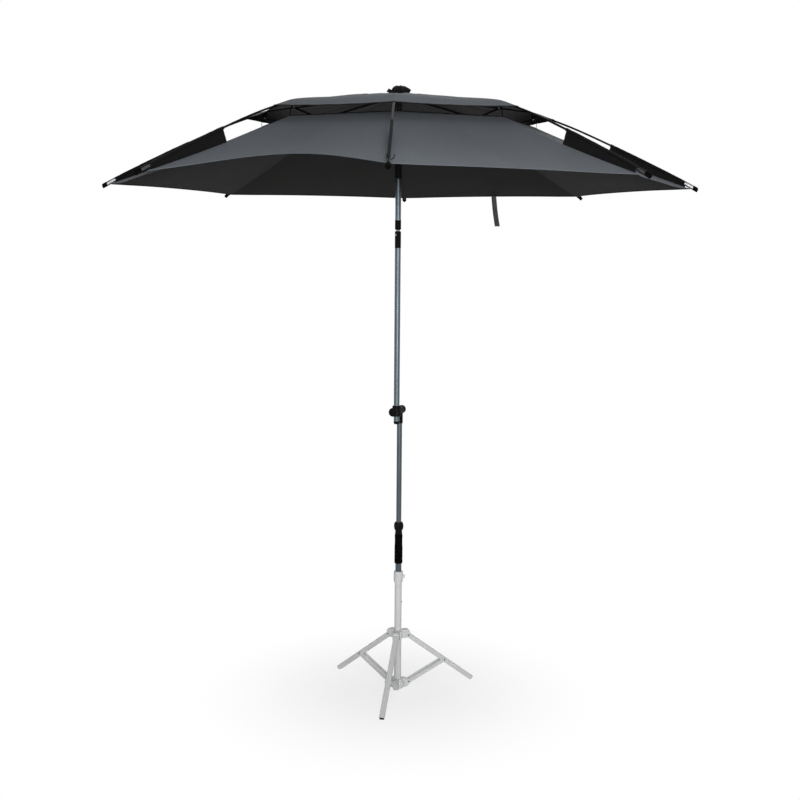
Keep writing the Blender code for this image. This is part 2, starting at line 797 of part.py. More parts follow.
# Canopy pole and tilt joint
def runner_mesh():
    """The sliding sleeve: a bored body with a flared foot, a flange and a lug for each stretcher."""
    z_pivot = RUNNER_PIVOT_HEIGHT
    flange_low = z_pivot - RUNNER_FLANGE_HEIGHT / 2
    flange_high = z_pivot + RUNNER_FLANGE_HEIGHT / 2
    sleeve = turned((
        (RUNNER_BORE_RADIUS, RUNNER_BOTTOM),
        (RUNNER_FLARE_RADIUS, RUNNER_BOTTOM),
        (RUNNER_FLARE_RADIUS, RUNNER_BOTTOM + RUNNER_FLARE_HEIGHT / 2),
        (RUNNER_RADIUS, RUNNER_BOTTOM + RUNNER_FLARE_HEIGHT),
        (RUNNER_RADIUS, flange_low - RUNNER_FLARE_HEIGHT / 2),
        (RUNNER_FLANGE_RADIUS, flange_low),
        (RUNNER_FLANGE_RADIUS, flange_high),
        (RUNNER_RADIUS, RUNNER_TOP),
        (RUNNER_BORE_RADIUS, RUNNER_TOP),
    ), hollow=True)
    half = PLATE_THICKNESS / 2
    root = RUNNER_RADIUS + EMBED
    rise = RUNNER_LUG_RADIUS
    lugs = []
    for index in range(RIB_COUNT):
        outline = [(root, -rise), *arc(RUNNER_PIVOT_RADIUS, 0, rise, -90, 90), (root, rise)]
        lug = placed(prism(outline, -half, half), shift(z=z_pivot), spin_z(rib_angle(index)))
        lugs.append(lug)
    return merged(sleeve, lugs)


def tilt_swept_space(radius):
    """The round space that an eye turns in, across the whole joint."""
    reach = TILT_RADIUS + OVERRUN
    return placed(along_y(rod(radius, -reach, reach, ROUND_STEPS)), shift(z=TILT_HEIGHT))


def tilt_eye(low, high, sides):
    """A plate with a round end at the tilt pin, from the pin up or down to its root."""
    root, start, end = (low, 0, 180) if low < 0 else (high, 180, 360)
    radius = TILT_EYE_RADIUS
    outline = [*arc(0, 0, radius, start, end, WIDE_ARC_STEPS)]
    edge = radius if start == 180 else -radius
    outline.extend(((edge, root), (-edge, root)))
    return placed(prism(outline, *sides), shift(z=TILT_HEIGHT))


def upper_knuckle_mesh():
    """A ferrule under the canopy pole, with a tongue down to the tilt pin."""
    flare = TILT_RADIUS * math.tan(TILT_BEVEL)
    spigot = CANOPY_POLE_BORE - GAP
    top = TILT_FERRULE_TOP
    body = turned((
        (EMBED, TILT_HEIGHT + EMBED * math.tan(TILT_BEVEL)),
        (TILT_RADIUS, TILT_HEIGHT + flare),
        (TILT_RADIUS, top),
        (spigot, top),
        (spigot, top + TILT_SPIGOT),
    ))
    half = TILT_TONGUE_THICKNESS / 2
    tongue = tilt_eye(0, TILT_EYE_RADIUS * 2, (-half, half))
    reach = half + OVERRUN
    hole = placed(along_y(rod(TILT_PIN_RADIUS + GAP, -reach, reach)), shift(z=TILT_HEIGHT))
    hollowed = merged(body, cut=(tilt_swept_space(TILT_EYE_RADIUS + 2 * GAP),))
    return merged(hollowed, (tongue,), (hole,))


def lower_knuckle_mesh():
    """The joint's housing on the main pole: a fork for the tongue and a pocket for the button."""
    flare = TILT_RADIUS * math.tan(TILT_BEVEL)
    spigot = MAIN_POLE_BORE - GAP
    low = TILT_HOUSING_BOTTOM
    body = turned((
        (spigot, low - TILT_SPIGOT),
        (spigot, low),
        (TILT_RADIUS, low),
        (TILT_RADIUS, TILT_HEIGHT - flare),
        (EMBED, TILT_HEIGHT - EMBED * math.tan(TILT_BEVEL)),
    ))
    near = TILT_TONGUE_THICKNESS / 2 + GAP
    far = near + TILT_FORK_THICKNESS
    ears = [tilt_eye(-TILT_EYE_RADIUS * 2, 0, sides) for sides in ((-far, -near), (near, far))]
    reach = far + OVERRUN
    hole = placed(along_y(rod(TILT_PIN_RADIUS + GAP, -reach, reach)), shift(z=TILT_HEIGHT))
    bottom = TILT_RADIUS * BUTTON_POCKET_SHARE
    pocket = along_x(rod(BUTTON_RADIUS + GAP, bottom, TILT_RADIUS + OVERRUN, SMALL_STEPS))
    placed(pocket, shift(z=TILT_HEIGHT - BUTTON_DROP), spin_z(BUTTON_AZIMUTH))
    hollowed = merged(body, cut=(tilt_swept_space(TILT_EYE_RADIUS + 2 * GAP),))
    return merged(hollowed, ears, (hole, pocket))


def button_mesh():
    """A push button along +X, its face flush with the housing so that the runner passes over it."""
    low = TILT_RADIUS * BUTTON_POCKET_SHARE + BUTTON_TRAVEL + GAP
    button = along_x(rod(BUTTON_RADIUS, low, TILT_RADIUS + OVERRUN, SMALL_STEPS))
    crown = rod(TILT_RADIUS + BUTTON_CROWN, -2 * BUTTON_RADIUS, 2 * BUTTON_RADIUS, ROUND_STEPS)
    return merged(button, within=(crown,))


def end_plug_mesh():
    """A tapered plug in the bottom of the main pole."""
    top = MAIN_POLE_BOTTOM - GAP
    return turned((
        (MAIN_POLE_RADIUS * END_PLUG_TAPER_SHARE, top - END_PLUG_LENGTH),
        (MAIN_POLE_RADIUS, top - END_PLUG_LENGTH / 2),
        (MAIN_POLE_RADIUS, top),
        (MAIN_POLE_BORE - GAP, top),
        (MAIN_POLE_BORE - GAP, top + END_PLUG_SPIGOT),
    ))


# Universal clamp, in a frame with +X from the main pole to the lower mast
def clamp_block_mesh():
    """A block bored for the main pole, with a swivel face behind and a screw boss in front."""
    half = CLAMP_BLOCK_HEIGHT / 2
    bore = MAIN_POLE_RADIUS + CLAMP_BORE_GAP
    body = rounded(rod(CLAMP_BLOCK_RADIUS, -half, half, ROUND_STEPS), CLAMP_ROUNDING)
    swivel = along_x(rod(SWIVEL_RADIUS, 0, SWIVEL_FACE, ROUND_STEPS))
    boss = along_x(rod(SCREW_BOSS_RADIUS, -SCREW_BOSS_REACH, 0, ROUND_STEPS))
    pole_bore = rod(bore, -half - OVERRUN, half + OVERRUN, ROUND_STEPS)
    screw_hole = along_x(rod(SCREW_RADIUS + GAP, -SCREW_BOSS_REACH - OVERRUN, 0, SMALL_STEPS))
    head_depth = bore + BOLT_HEAD_THICKNESS + 2 * GAP
    head_pocket = along_x(rod(BOLT_HEAD_RADIUS + GAP, 0, head_depth, SMALL_STEPS))
    bolt_hole = along_x(rod(SCREW_RADIUS + GAP, 0, SWIVEL_FACE + OVERRUN, SMALL_STEPS))
    return merged(body, (swivel, boss), (pole_bore, screw_hole, head_pocket, bolt_hole))


def pivot_bolt_mesh():
    """The bolt that the clamp turns on: its head sits in the block, its tail in the rear knob."""
    start = MAIN_POLE_RADIUS + CLAMP_BORE_GAP + GAP
    neck = start + BOLT_HEAD_THICKNESS
    end = SWIVEL_FACE + GAP + HEAD_DEPTH + GAP + BOLT_TAIL
    return along_x(turned((
        (BOLT_HEAD_RADIUS, start), (BOLT_HEAD_RADIUS, neck), (SCREW_RADIUS, neck), (SCREW_RADIUS, end),
    ), SMALL_STEPS))


def clamp_head_mesh():
    """The eye that caps the lower mast, drilled for the pivot bolt."""
    near = SWIVEL_FACE + GAP
    far = near + HEAD_DEPTH
    low = HEAD_BOTTOM - CLAMP_HEIGHT
    eye = along_x(rod(HEAD_EYE_RADIUS, near, far, ROUND_STEPS))
    neck = placed(rod(HEAD_RADIUS, low, 0, ROUND_STEPS), shift(CLAMP_SPAN))
    bolt_hole = along_x(rod(SCREW_RADIUS + GAP, near - OVERRUN, far + OVERRUN, SMALL_STEPS))
    socket = rod(INNER_POLE_RADIUS + GAP, low - OVERRUN, low + HEAD_SOCKET_DEPTH, ROUND_STEPS)
    placed(socket, shift(CLAMP_SPAN))
    return merged(rounded(eye, CLAMP_ROUNDING), (neck,), (bolt_hole, socket))


def knob_ring(radius, height, depth):
    """One ring of a fluted knob."""
    steps = KNOB_LOBES * 3
    ring = []
    for step in range(steps):
        angle = FULL_TURN * step / steps
        out = radius - (depth if step % 3 == 0 else 0.0)
        ring.append((out * math.cos(angle), out * math.sin(angle), height))
    return ring


def knob_mesh(radius):
    """A fluted hand knob along +X from its seat: a neck, a grip and a dished face."""
    neck = KNOB_LENGTH * KNOB_NECK_SHARE
    rim = radius * KNOB_RIM_SHARE
    flute = KNOB_LOBE_DEPTH
    face = KNOB_LENGTH
    rings = (
        knob_ring(KNOB_NECK_RADIUS, 0, 0.0),
        knob_ring(KNOB_NECK_RADIUS, neck, 0.0),
        knob_ring(radius, neck + KNOB_BEVEL, flute),
        knob_ring(radius, face - KNOB_BEVEL, flute),
        knob_ring(radius - KNOB_BEVEL, face, flute / 2),
        knob_ring(rim, face, 0.0),
        knob_ring(rim - KNOB_BEVEL, face - KNOB_DISH_DEPTH, 0.0),
    )
    return along_x(loft(rings))


def front_knob_mesh():
    """The clamping knob with its screw, which presses on the main pole."""
    seat = -(SCREW_BOSS_REACH + GAP)
    tip = -(MAIN_POLE_RADIUS + GAP)
    knob = placed(knob_mesh(FRONT_KNOB_RADIUS), Matrix.Rotation(math.pi, 4, "Z"), shift(seat))
    screw = along_x(rod(SCREW_RADIUS, seat - EMBED, tip))
    return merged(knob, (screw,))


def rear_knob_mesh():
    """The swivel's knob, bored for the bolt's tail."""
    seat = SWIVEL_FACE + GAP + HEAD_DEPTH + GAP
    knob = placed(knob_mesh(REAR_KNOB_RADIUS), shift(seat))
    bore = along_x(rod(SCREW_RADIUS + GAP, seat - OVERRUN, seat + BOLT_TAIL + GAP, SMALL_STEPS))
    return merged(knob, cut=(bore,))


# Lower mast
def outer_tube_mesh():
    """The outer tube with a neck ring over the grip and a split collet in the twist lock."""
    body = turned((
        (OUTER_TUBE_BORE, OUTER_TUBE_BOTTOM),
        (OUTER_TUBE_RADIUS, OUTER_TUBE_BOTTOM),
        (OUTER_TUBE_RADIUS, NECK_BOTTOM),
        (NECK_RADIUS, NECK_BOTTOM),
        (NECK_RADIUS, TWIST_BOTTOM - GAP),
        (OUTER_TUBE_RADIUS, TWIST_BOTTOM - GAP),
        (OUTER_TUBE_RADIUS, COLLET_TOP),
        (OUTER_TUBE_BORE, COLLET_TOP),
    ), hollow=True)
    half = COLLET_SLOT_WIDTH / 2
    reach = OUTER_TUBE_RADIUS + OVERRUN
    slots = []
    for index in range(COLLET_SLOTS):
        slot = block(-reach, reach, -half, half, COLLET_TOP - COLLET_SLOT_LENGTH, COLLET_TOP + OVERRUN)
        slots.append(placed(slot, spin_z(math.pi * index / COLLET_SLOTS)))
    return merged(body, cut=slots)


def twist_collar_mesh():
    """The twist lock's fluted collar, over the collet and close round the inner pole."""
    steps = TWIST_FLUTES * 2
    barrel_low, barrel_high = [TWIST_BOTTOM + TWIST_HEIGHT * share for share in TWIST_BARREL_SHARES]
    waist = TWIST_RADIUS * TWIST_END_SHARE
    step_height = COLLET_TOP + GAP
    wide = OUTER_TUBE_RADIUS + GAP
    close = INNER_POLE_RADIUS + GAP
    profile = (
        (wide, TWIST_BOTTOM, 0.0),
        (waist, TWIST_BOTTOM, 0.0),
        (TWIST_RADIUS, barrel_low, TWIST_FLUTE_DEPTH),
        (TWIST_RADIUS, barrel_high, TWIST_FLUTE_DEPTH),
        (waist, TWIST_TOP, 0.0),
        (close, TWIST_TOP, 0.0),
        (close, step_height, 0.0),
        (wide, step_height, 0.0),
    )
    rings = []
    for radius, level, flute in profile:
        ring = []
        for step in range(steps):
            angle = FULL_TURN * step / steps
            out = radius - flute * (step % 2)
            ring.append((out * math.cos(angle), out * math.sin(angle), level))
        rings.append(ring)
    return loft(rings, closed_ends=False, joined_ends=True)


def grip_mesh():
    """The foam grip, a little waisted near its top."""
    bore = OUTER_TUBE_RADIUS + GAP
    outside = [(GRIP_RADIUS * wide, GRIP_BOTTOM + GRIP_LENGTH * up) for up, wide in GRIP_PROFILE_SHARES]
    return turned(((bore, GRIP_BOTTOM), *outside, (bore, GRIP_TOP)), hollow=True)


# Tripod, about the lower mast's axis
def tripod_tube_mesh():
    inner = TRIPOD_TUBE_RADIUS - TRIPOD_TUBE_WALL
    body = tube(TRIPOD_TUBE_RADIUS, inner, TRIPOD_TUBE_BOTTOM, COLLAR_TOP - COLLAR_ROOF - GAP)
    hole = along_x(rod(THUMB_SCREW_RADIUS + GAP, 0, TRIPOD_TUBE_RADIUS + OVERRUN, SMALL_STEPS))
    return merged(body, cut=(placed(hole, shift(z=THUMB_HEIGHT)),))


def tripod_collar_mesh():
    """The collar on the tripod's tube, with a boss for the thumb screw."""
    fit = TRIPOD_TUBE_RADIUS + GAP
    mouth = OUTER_TUBE_RADIUS + GAP
    foot = COLLAR_RADIUS * COLLAR_FOOT_SHARE
    soften = COLLAR_ROOF / 4
    under_roof = COLLAR_TOP - COLLAR_ROOF
    body = turned((
        (fit, COLLAR_BOTTOM), (foot, COLLAR_BOTTOM), (COLLAR_RADIUS, COLLAR_BOTTOM + COLLAR_ROOF),
        (COLLAR_RADIUS, COLLAR_TOP - soften), (COLLAR_RADIUS - soften, COLLAR_TOP),
        (mouth, COLLAR_TOP), (mouth, under_roof), (fit, under_roof),
    ), hollow=True)
    face = COLLAR_RADIUS + THUMB_BOSS_PROUD
    boss = placed(along_x(rod(THUMB_BOSS_RADIUS, fit + EMBED, face, ROUND_STEPS)), shift(z=THUMB_HEIGHT))
    hole = along_x(rod(THUMB_SCREW_RADIUS + GAP, 0, face + OVERRUN, SMALL_STEPS))
    placed(hole, shift(z=THUMB_HEIGHT))
    return merged(body, (boss,), (hole,))


def thumb_screw_mesh():
    """The thumb screw that holds the mast in the tripod, along +X."""
    tip = OUTER_TUBE_RADIUS + GAP
    seat = COLLAR_RADIUS + THUMB_BOSS_PROUD + GAP
    end = seat + THUMB_HEAD_LENGTH
    soft = THUMB_HEAD_LENGTH / 4
    return along_x(turned((
        (THUMB_SCREW_RADIUS, tip), (THUMB_SCREW_RADIUS, seat), (THUMB_HEAD_RADIUS, seat),
        (THUMB_HEAD_RADIUS, end - soft), (THUMB_HEAD_RADIUS - soft, end),
    ), SMALL_STEPS))


def leg_angle(index):
    return LEG_AZIMUTH + FULL_TURN * index / LEG_COUNT


EAR_INNER = LEG_SIDE / 2 + GAP
EAR_OUTER = EAR_INNER + EAR_THICKNESS
LEG_RUN = FOOT_RADIUS - LEG_PIVOT_RADIUS
LEG_FALL = LEG_PIVOT_HEIGHT - LEG_END_HEIGHT
LEG_LENGTH = math.hypot(LEG_RUN, LEG_FALL)
LEG_SLOPE = math.atan2(LEG_FALL, LEG_RUN)
STRUT_TOP_RADIUS = LEG_PIVOT_RADIUS + LEG_RUN * STRUT_SHARE_OF_LEG
STRUT_TOP_HEIGHT = LEG_PIVOT_HEIGHT - LEG_FALL * STRUT_SHARE_OF_LEG
STRUT_RUN = STRUT_TOP_RADIUS - STRUT_PIVOT_RADIUS
STRUT_RISE = STRUT_TOP_HEIGHT - STRUT_PIVOT_HEIGHT
STRUT_LENGTH = math.hypot(STRUT_RUN, STRUT_RISE)
STRUT_SLOPE = math.atan2(STRUT_RISE, STRUT_RUN)


def upper_hub_mesh():
    """The sliding hub: a sleeve with a roofed fork and a pivot pin for each leg."""
    low = LEG_PIVOT_HEIGHT - HUB_BELOW
    high = LEG_PIVOT_HEIGHT + HUB_ABOVE
    sleeve = rod(HUB_RADIUS, low, high, ROUND_STEPS)
    inner = HUB_RADIUS / 2
    edge = LEG_PIVOT_RADIUS + HUB_EAR_REACH
    shoulder = LEG_PIVOT_HEIGHT + HUB_ABOVE * HUB_SHOULDER_SHARE
    outline = (
        (inner, low), (edge - HUB_ROOF, low), (edge, low + HUB_ROOF), (edge, shoulder),
        (LEG_PIVOT_RADIUS, high), (inner, high),
    )
    parts = []
    for index in range(LEG_COUNT):
        turn = spin_z(leg_angle(index))
        for sides in ((-EAR_OUTER, -EAR_INNER), (EAR_INNER, EAR_OUTER)):
            parts.append(placed(prism(outline, *sides), turn))
        seam = EAR_INNER + EAR_THICKNESS / 2
        roof = block(inner, LEG_PIVOT_RADIUS - EMBED, -seam, seam, high - HUB_ROOF, high)
        parts.append(placed(roof, turn))
        for shape in pivot_pin():
            parts.append(placed(shape, shift(LEG_PIVOT_RADIUS, 0, LEG_PIVOT_HEIGHT), turn))
    bore = rod(TRIPOD_TUBE_RADIUS + GAP, low - OVERRUN, high + OVERRUN, ROUND_STEPS)
    return merged(sleeve, parts, (bore,))


def pivot_pin():
    """A pin across two plates, with a round head on the outside of each."""
    middle = EAR_INNER + EAR_THICKNESS / 2
    shaft = along_y(rod(PIVOT_RADIUS, -middle, middle))
    return [shaft, *pivot_heads()]


def pivot_heads():
    return [rivet_head(EAR_OUTER, PIVOT_HEAD_RADIUS, PIVOT_HEAD_THICKNESS, side) for side in (-1, 1)]


def leg_mesh():
    """A square tube along +X from its pivot, drilled for the pin."""
    half = LEG_SIDE / 2
    inside = half - LEG_WALL
    outer = rounded(block(-LEG_OVERHANG, LEG_LENGTH, -half, half, -half, half), LEG_ROUNDING)
    hollow = block(-LEG_OVERHANG - OVERRUN, LEG_LENGTH + OVERRUN, -inside, inside, -inside, inside)
    hole = along_y(rod(PIVOT_RADIUS + GAP, -half - OVERRUN, half + OVERRUN))
    return merged(outer, cut=(hollow, hole))


def foot_mesh():
    """The plug in a leg's end, along +X from its pivot, cut flat where it stands on the floor."""
    half = LEG_SIDE / 2
    inside = half - LEG_WALL - GAP
    start = LEG_LENGTH + GAP
    cap = rounded(block(start, start + PLUG_LENGTH, -half, half, -half, half), LEG_ROUNDING)
    spigot = block(start - PLUG_SPIGOT, start + EMBED, -inside, inside, -inside, inside)
    solid = merged(cap, (spigot,))
    cutter = bmesh.new()
    cutter.from_mesh(solid)
    normal = Vector((-math.sin(LEG_SLOPE), 0, math.cos(LEG_SLOPE)))
    floor = -normal * LEG_PIVOT_HEIGHT
    geometry = [*cutter.verts, *cutter.edges, *cutter.faces]
    bmesh.ops.bisect_plane(cutter, geom=geometry, plane_co=floor, plane_no=normal, clear_inner=True)
    rim = [edge for edge in cutter.edges if edge.is_boundary]
    bmesh.ops.holes_fill(cutter, edges=rim)
    bmesh.ops.recalc_face_normals(cutter, faces=cutter.faces)
    cutter.to_mesh(solid)
    cutter.free()
    return solid


def strut_mesh():
    """Two flat bars along +X, joined by the pin at the lower hub and riveted to the leg's sides."""
    half = STRUT_WIDTH / 2
    outline = [
        *arc(0, 0, half, 90, 270, WIDE_ARC_STEPS),
        *arc(STRUT_LENGTH, 0, half, -90, 90, WIDE_ARC_STEPS),
    ]
    near = prism(outline, -EAR_OUTER, -EAR_INNER)
    far = prism(outline, EAR_INNER, EAR_OUTER)
    upper_heads = [placed(head, shift(STRUT_LENGTH)) for head in pivot_heads()]
    return merged(near, (far, *pivot_pin(), *upper_heads))


def lower_hub_mesh():
    """The bowl at the foot of the tripod's tube, with an ear between each pair of struts."""
    low = LOWER_HUB_BOTTOM
    high = LOWER_HUB_TOP
    sleeve = rod(LOWER_HUB_RADIUS, low, high, ROUND_STEPS)
    edge = STRUT_PIVOT_RADIUS + LOWER_EAR_REACH
    inner = LOWER_HUB_RADIUS / 2
    bowl = STRUT_PIVOT_RADIUS - LOWER_EAR_REACH
    pivot = STRUT_PIVOT_HEIGHT
    reach = LOWER_EAR_REACH
    outline = [
        (inner, low), (bowl, low), (STRUT_PIVOT_RADIUS + reach / 2, (low + pivot) / 2),
        (edge, pivot - reach / 3), (edge, pivot + reach / 3), (STRUT_PIVOT_RADIUS, pivot + reach),
        (LOWER_HUB_RADIUS + reach / 2, high), (inner, high),
    ]
    half = LEG_SIDE / 2
    ears = []
    holes = []
    for index in range(LEG_COUNT):
        turn = spin_z(leg_angle(index))
        ears.append(placed(prism(outline, -half, half), turn))
        hole = along_y(rod(PIVOT_RADIUS + GAP, -half - OVERRUN, half + OVERRUN))
        holes.append(placed(hole, shift(STRUT_PIVOT_RADIUS, 0, pivot), turn))
    bore = rod(TRIPOD_TUBE_RADIUS + GAP, low + LOWER_HUB_FLOOR, high + OVERRUN, ROUND_STEPS)
    return merged(sleeve, ears, (bore, *holes))


# Assembly
def build_ribs():
    rib = rib_mesh()
    tip = tip_mesh()
    stretcher = stretcher_mesh()
    end_radius = END_FERRULE_RADIUS + END_FERRULE_LENGTH
    end_slope = rib_slope(end_radius)
    inward = TIP_SOCKET_DEPTH - GAP
    sink = END_FERRULE_SINK
    tip_x = end_radius - CROWN_PIVOT_RADIUS - inward * math.cos(end_slope) + sink * math.sin(end_slope)
    tip_z = rib_height(end_radius) - CROWN_PIVOT_HEIGHT - inward * math.sin(end_slope)
    tip_z -= sink * math.cos(end_slope)
    fall = math.atan2(RIVET_PIVOT_HEIGHT - RUNNER_PIVOT_HEIGHT, RIVET_PIVOT_RADIUS - RUNNER_PIVOT_RADIUS)
    rivet_x = RIVET_PIVOT_RADIUS - CROWN_PIVOT_RADIUS
    rivet_z = RIVET_PIVOT_HEIGHT - CROWN_PIVOT_HEIGHT
    for index in range(RIB_COUNT):
        angle = rib_angle(index)
        out = CROWN_PIVOT_RADIUS
        pivot = (out * math.cos(angle), out * math.sin(angle), CROWN_PIVOT_HEIGHT)
        number = index + 1
        part = piece(f"rib_{number}", rib, "black_steel", pivot, (0, 0, angle))
        piece(f"rib_tip_{number}", tip, "black_plastic", (tip_x, 0, tip_z), (0, -end_slope, 0), part)
        piece(f"stretcher_{number}", stretcher, "black_steel", (rivet_x, 0, rivet_z),
              (0, fall, math.pi), part)


def build_canopy():
    crown = piece("crown_hub", crown_hub_mesh(), "black_plastic", (0, 0, CROWN_PIVOT_HEIGHT))
    cover_seat = CROWN_RISE + CROWN_ROOF + CLOTH + 2 * GAP
    piece("crown_cover", cover_mesh(), "black_cloth", (0, 0, cover_seat), parent=crown)
    piece("vent_canopy", vent_canopy_mesh(), "grey_cloth")
    piece("main_canopy", main_canopy_mesh(), "grey_cloth")
    x, y, z = skirt_point(STRAP_PANEL, STRAP_ALONG_HEM_SHARE, STRAP_INSET_SHARE)
    hem = (rib_angle(STRAP_PANEL) + rib_angle(STRAP_PANEL + 1) + math.pi) / 2
    piece("closure_strap", strap_mesh(), "strap_web", (x, y, z - CLOTH - 2 * GAP), (0, 0, hem))


def build_canopy_pole():
    top = CROWN_PIVOT_HEIGHT + CROWN_RISE - GAP
    pole = tube(CANOPY_POLE_RADIUS, CANOPY_POLE_BORE, TILT_FERRULE_TOP + GAP, top)
    piece("canopy_pole", pole, "blue_steel")
    piece("runner", runner_mesh(), "black_plastic")
    piece("upper_knuckle", upper_knuckle_mesh(), "black_plastic")
    piece("lower_knuckle", lower_knuckle_mesh(), "black_plastic")
    reach = TILT_TONGUE_THICKNESS / 2 + GAP + TILT_FORK_THICKNESS
    pin = along_y(rod(TILT_PIN_RADIUS, -reach, reach))
    piece("tilt_pin", pin, "steel", (0, 0, TILT_HEIGHT))
    piece("tilt_button", button_mesh(), "steel", (0, 0, TILT_HEIGHT - BUTTON_DROP), (0, 0, BUTTON_AZIMUTH))
    main = tube(MAIN_POLE_RADIUS, MAIN_POLE_BORE, MAIN_POLE_BOTTOM, TILT_HOUSING_BOTTOM - GAP)
    piece("main_pole", main, "blue_steel")
    piece("pole_end_plug", end_plug_mesh(), "black_plastic")


def build_clamp():
    place = (0, 0, CLAMP_HEIGHT)
    turn = (0, 0, CLAMP_AZIMUTH)
    piece("clamp_block", clamp_block_mesh(), "black_plastic", place, turn)
    piece("pivot_bolt", pivot_bolt_mesh(), "steel", place, turn)
    piece("clamp_head", clamp_head_mesh(), "black_plastic", place, turn)
    piece("front_knob", front_knob_mesh(), "black_plastic", place, turn)
    piece("rear_knob", rear_knob_mesh(), "black_plastic", place, turn)


def build_lower_mast():
    place = (MAST_X, MAST_Y, 0)
    top = HEAD_BOTTOM + HEAD_SOCKET_DEPTH - GAP
    inner = tube(INNER_POLE_RADIUS, INNER_POLE_BORE, INNER_POLE_BOTTOM, top)
    piece("inner_pole", inner, "blue_steel", place)
    piece("twist_collar", twist_collar_mesh(), "black_plastic", place)
    piece("foam_grip", grip_mesh(), "foam", place)
    piece("outer_tube", outer_tube_mesh(), "blue_steel", place)


def build_tripod():
    place = (MAST_X, MAST_Y, 0)
    piece("tripod_tube", tripod_tube_mesh(), "grey_paint", place)
    piece("tripod_collar", tripod_collar_mesh(), "grey_paint", place)
    piece("thumb_screw", thumb_screw_mesh(), "grey_paint", (MAST_X, MAST_Y, THUMB_HEIGHT))
    piece("upper_hub", upper_hub_mesh(), "grey_paint", place)
    piece("lower_hub", lower_hub_mesh(), "grey_paint", place)
    leg = leg_mesh()
    foot = foot_mesh()
    strut = strut_mesh()
    for index in range(LEG_COUNT):
        number = index + 1
        angle = leg_angle(index)
        out = Vector((math.cos(angle), math.sin(angle), 0))
        mast = Vector(place)
        pivot = mast + out * LEG_PIVOT_RADIUS + Vector((0, 0, LEG_PIVOT_HEIGHT))
        piece(f"leg_{number}", leg, "grey_paint", pivot, (0, LEG_SLOPE, angle))
        piece(f"foot_{number}", foot, "black_rubber", pivot, (0, LEG_SLOPE, angle))
        low = mast + out * STRUT_PIVOT_RADIUS + Vector((0, 0, STRUT_PIVOT_HEIGHT))
        piece(f"strut_{number}", strut, "grey_paint", low, (0, -STRUT_SLOPE, angle))


def main():
    clear_scene()
    build_ribs()
    build_canopy()
    build_canopy_pole()
    build_clamp()
    build_lower_mast()
    build_tripod()
    bpy.context.view_layer.update()
    print("pieces", len(bpy.data.objects))


main()
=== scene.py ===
# %% [markdown]
# # A fishing umbrella, dressed for its picture
# The poles, ribs, clamp and tripod of this umbrella come from a CAD model, and they can move.
# This lesson gives them their paint, cloth and small fittings, one piece at a time.
# Lengths are in metres, +Z is up, and the umbrella stands on z = 0 with its pole on x = y = 0.

# %% Load the frame
import math

import bmesh
import bpy
from mathutils import Matrix, Vector, noise


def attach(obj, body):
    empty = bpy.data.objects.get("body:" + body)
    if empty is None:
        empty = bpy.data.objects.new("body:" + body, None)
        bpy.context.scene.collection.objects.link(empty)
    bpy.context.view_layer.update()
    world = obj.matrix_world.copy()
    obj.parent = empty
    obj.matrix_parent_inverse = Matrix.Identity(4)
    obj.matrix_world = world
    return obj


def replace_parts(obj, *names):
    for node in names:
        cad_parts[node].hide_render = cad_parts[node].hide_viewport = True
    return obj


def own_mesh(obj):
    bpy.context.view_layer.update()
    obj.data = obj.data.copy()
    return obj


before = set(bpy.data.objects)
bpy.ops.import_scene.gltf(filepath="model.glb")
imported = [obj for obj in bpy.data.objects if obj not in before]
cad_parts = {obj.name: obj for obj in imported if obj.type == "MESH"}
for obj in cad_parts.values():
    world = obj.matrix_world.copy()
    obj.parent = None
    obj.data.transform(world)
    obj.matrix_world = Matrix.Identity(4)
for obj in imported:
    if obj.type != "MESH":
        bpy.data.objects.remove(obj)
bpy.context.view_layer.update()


# %% Make a helper for new objects
def new_object(name, data):
    """An object that is part of the scene."""
    made = bpy.data.objects.new(name, data)
    bpy.context.scene.collection.objects.link(made)
    return made


# %% [markdown]
# ## The camera
# The picture was taken from about 4.6 m away, a little below the height of the hem, looking slightly down.
# A camera could be aimed with a constraint, but its matrix is written out here because the fitted
# view also has a small roll, which a Track To constraint would undo.

# %% Place the camera
CAMERA_PLACE = Vector((0.0242, -4.6269, 1.8714))
CAMERA_PITCH = math.radians(7.626)
CAMERA_YAW = math.radians(-0.131)
CAMERA_ROLL = math.radians(0.46)
CAMERA_LENS = 50.98

ahead = Vector((
    math.sin(CAMERA_YAW) * math.cos(CAMERA_PITCH),
    math.cos(CAMERA_YAW) * math.cos(CAMERA_PITCH),
    -math.sin(CAMERA_PITCH),
))
level = ahead.cross(Vector((0, 0, 1))).normalized()
upward = level.cross(ahead)
right = level * math.cos(CAMERA_ROLL) + upward * math.sin(CAMERA_ROLL)
above = upward * math.cos(CAMERA_ROLL) - level * math.sin(CAMERA_ROLL)
camera_data = bpy.data.cameras.new("camera")
camera_data.lens = CAMERA_LENS
camera = new_object("camera", camera_data)
camera.matrix_world = Matrix.Translation(CAMERA_PLACE) @ Matrix((right, above, -ahead)).transposed().to_4x4()
bpy.context.scene.camera = camera
print("The camera looks down by", round(math.degrees(CAMERA_PITCH), 1), "degrees")

# %% [markdown]
# ## The studio
# A product picture like this has a white room and big soft lamps. Area lights give soft shadows
# because light leaves their whole face. The world shows white to the camera and in reflections,
# but it lights the object only at a plain level, so that colours come out as they are written.

# %% Make small helpers for nodes
def add(tree, kind, inputs=None, **settings):
    """A new node with its settings, and with each input set to a number or linked to a socket."""
    made = tree.nodes.new(kind)
    for key, value in settings.items():
        setattr(made, key, value)
    for socket, value in (inputs or {}).items():
        if isinstance(value, bpy.types.NodeSocket):
            tree.links.new(value, made.inputs[socket])
        else:
            made.inputs[socket].default_value = value
    return made


def true_place(tree):
    """Coordinates in metres on the object."""
    return add(tree, "ShaderNodeTexCoord").outputs["Object"]


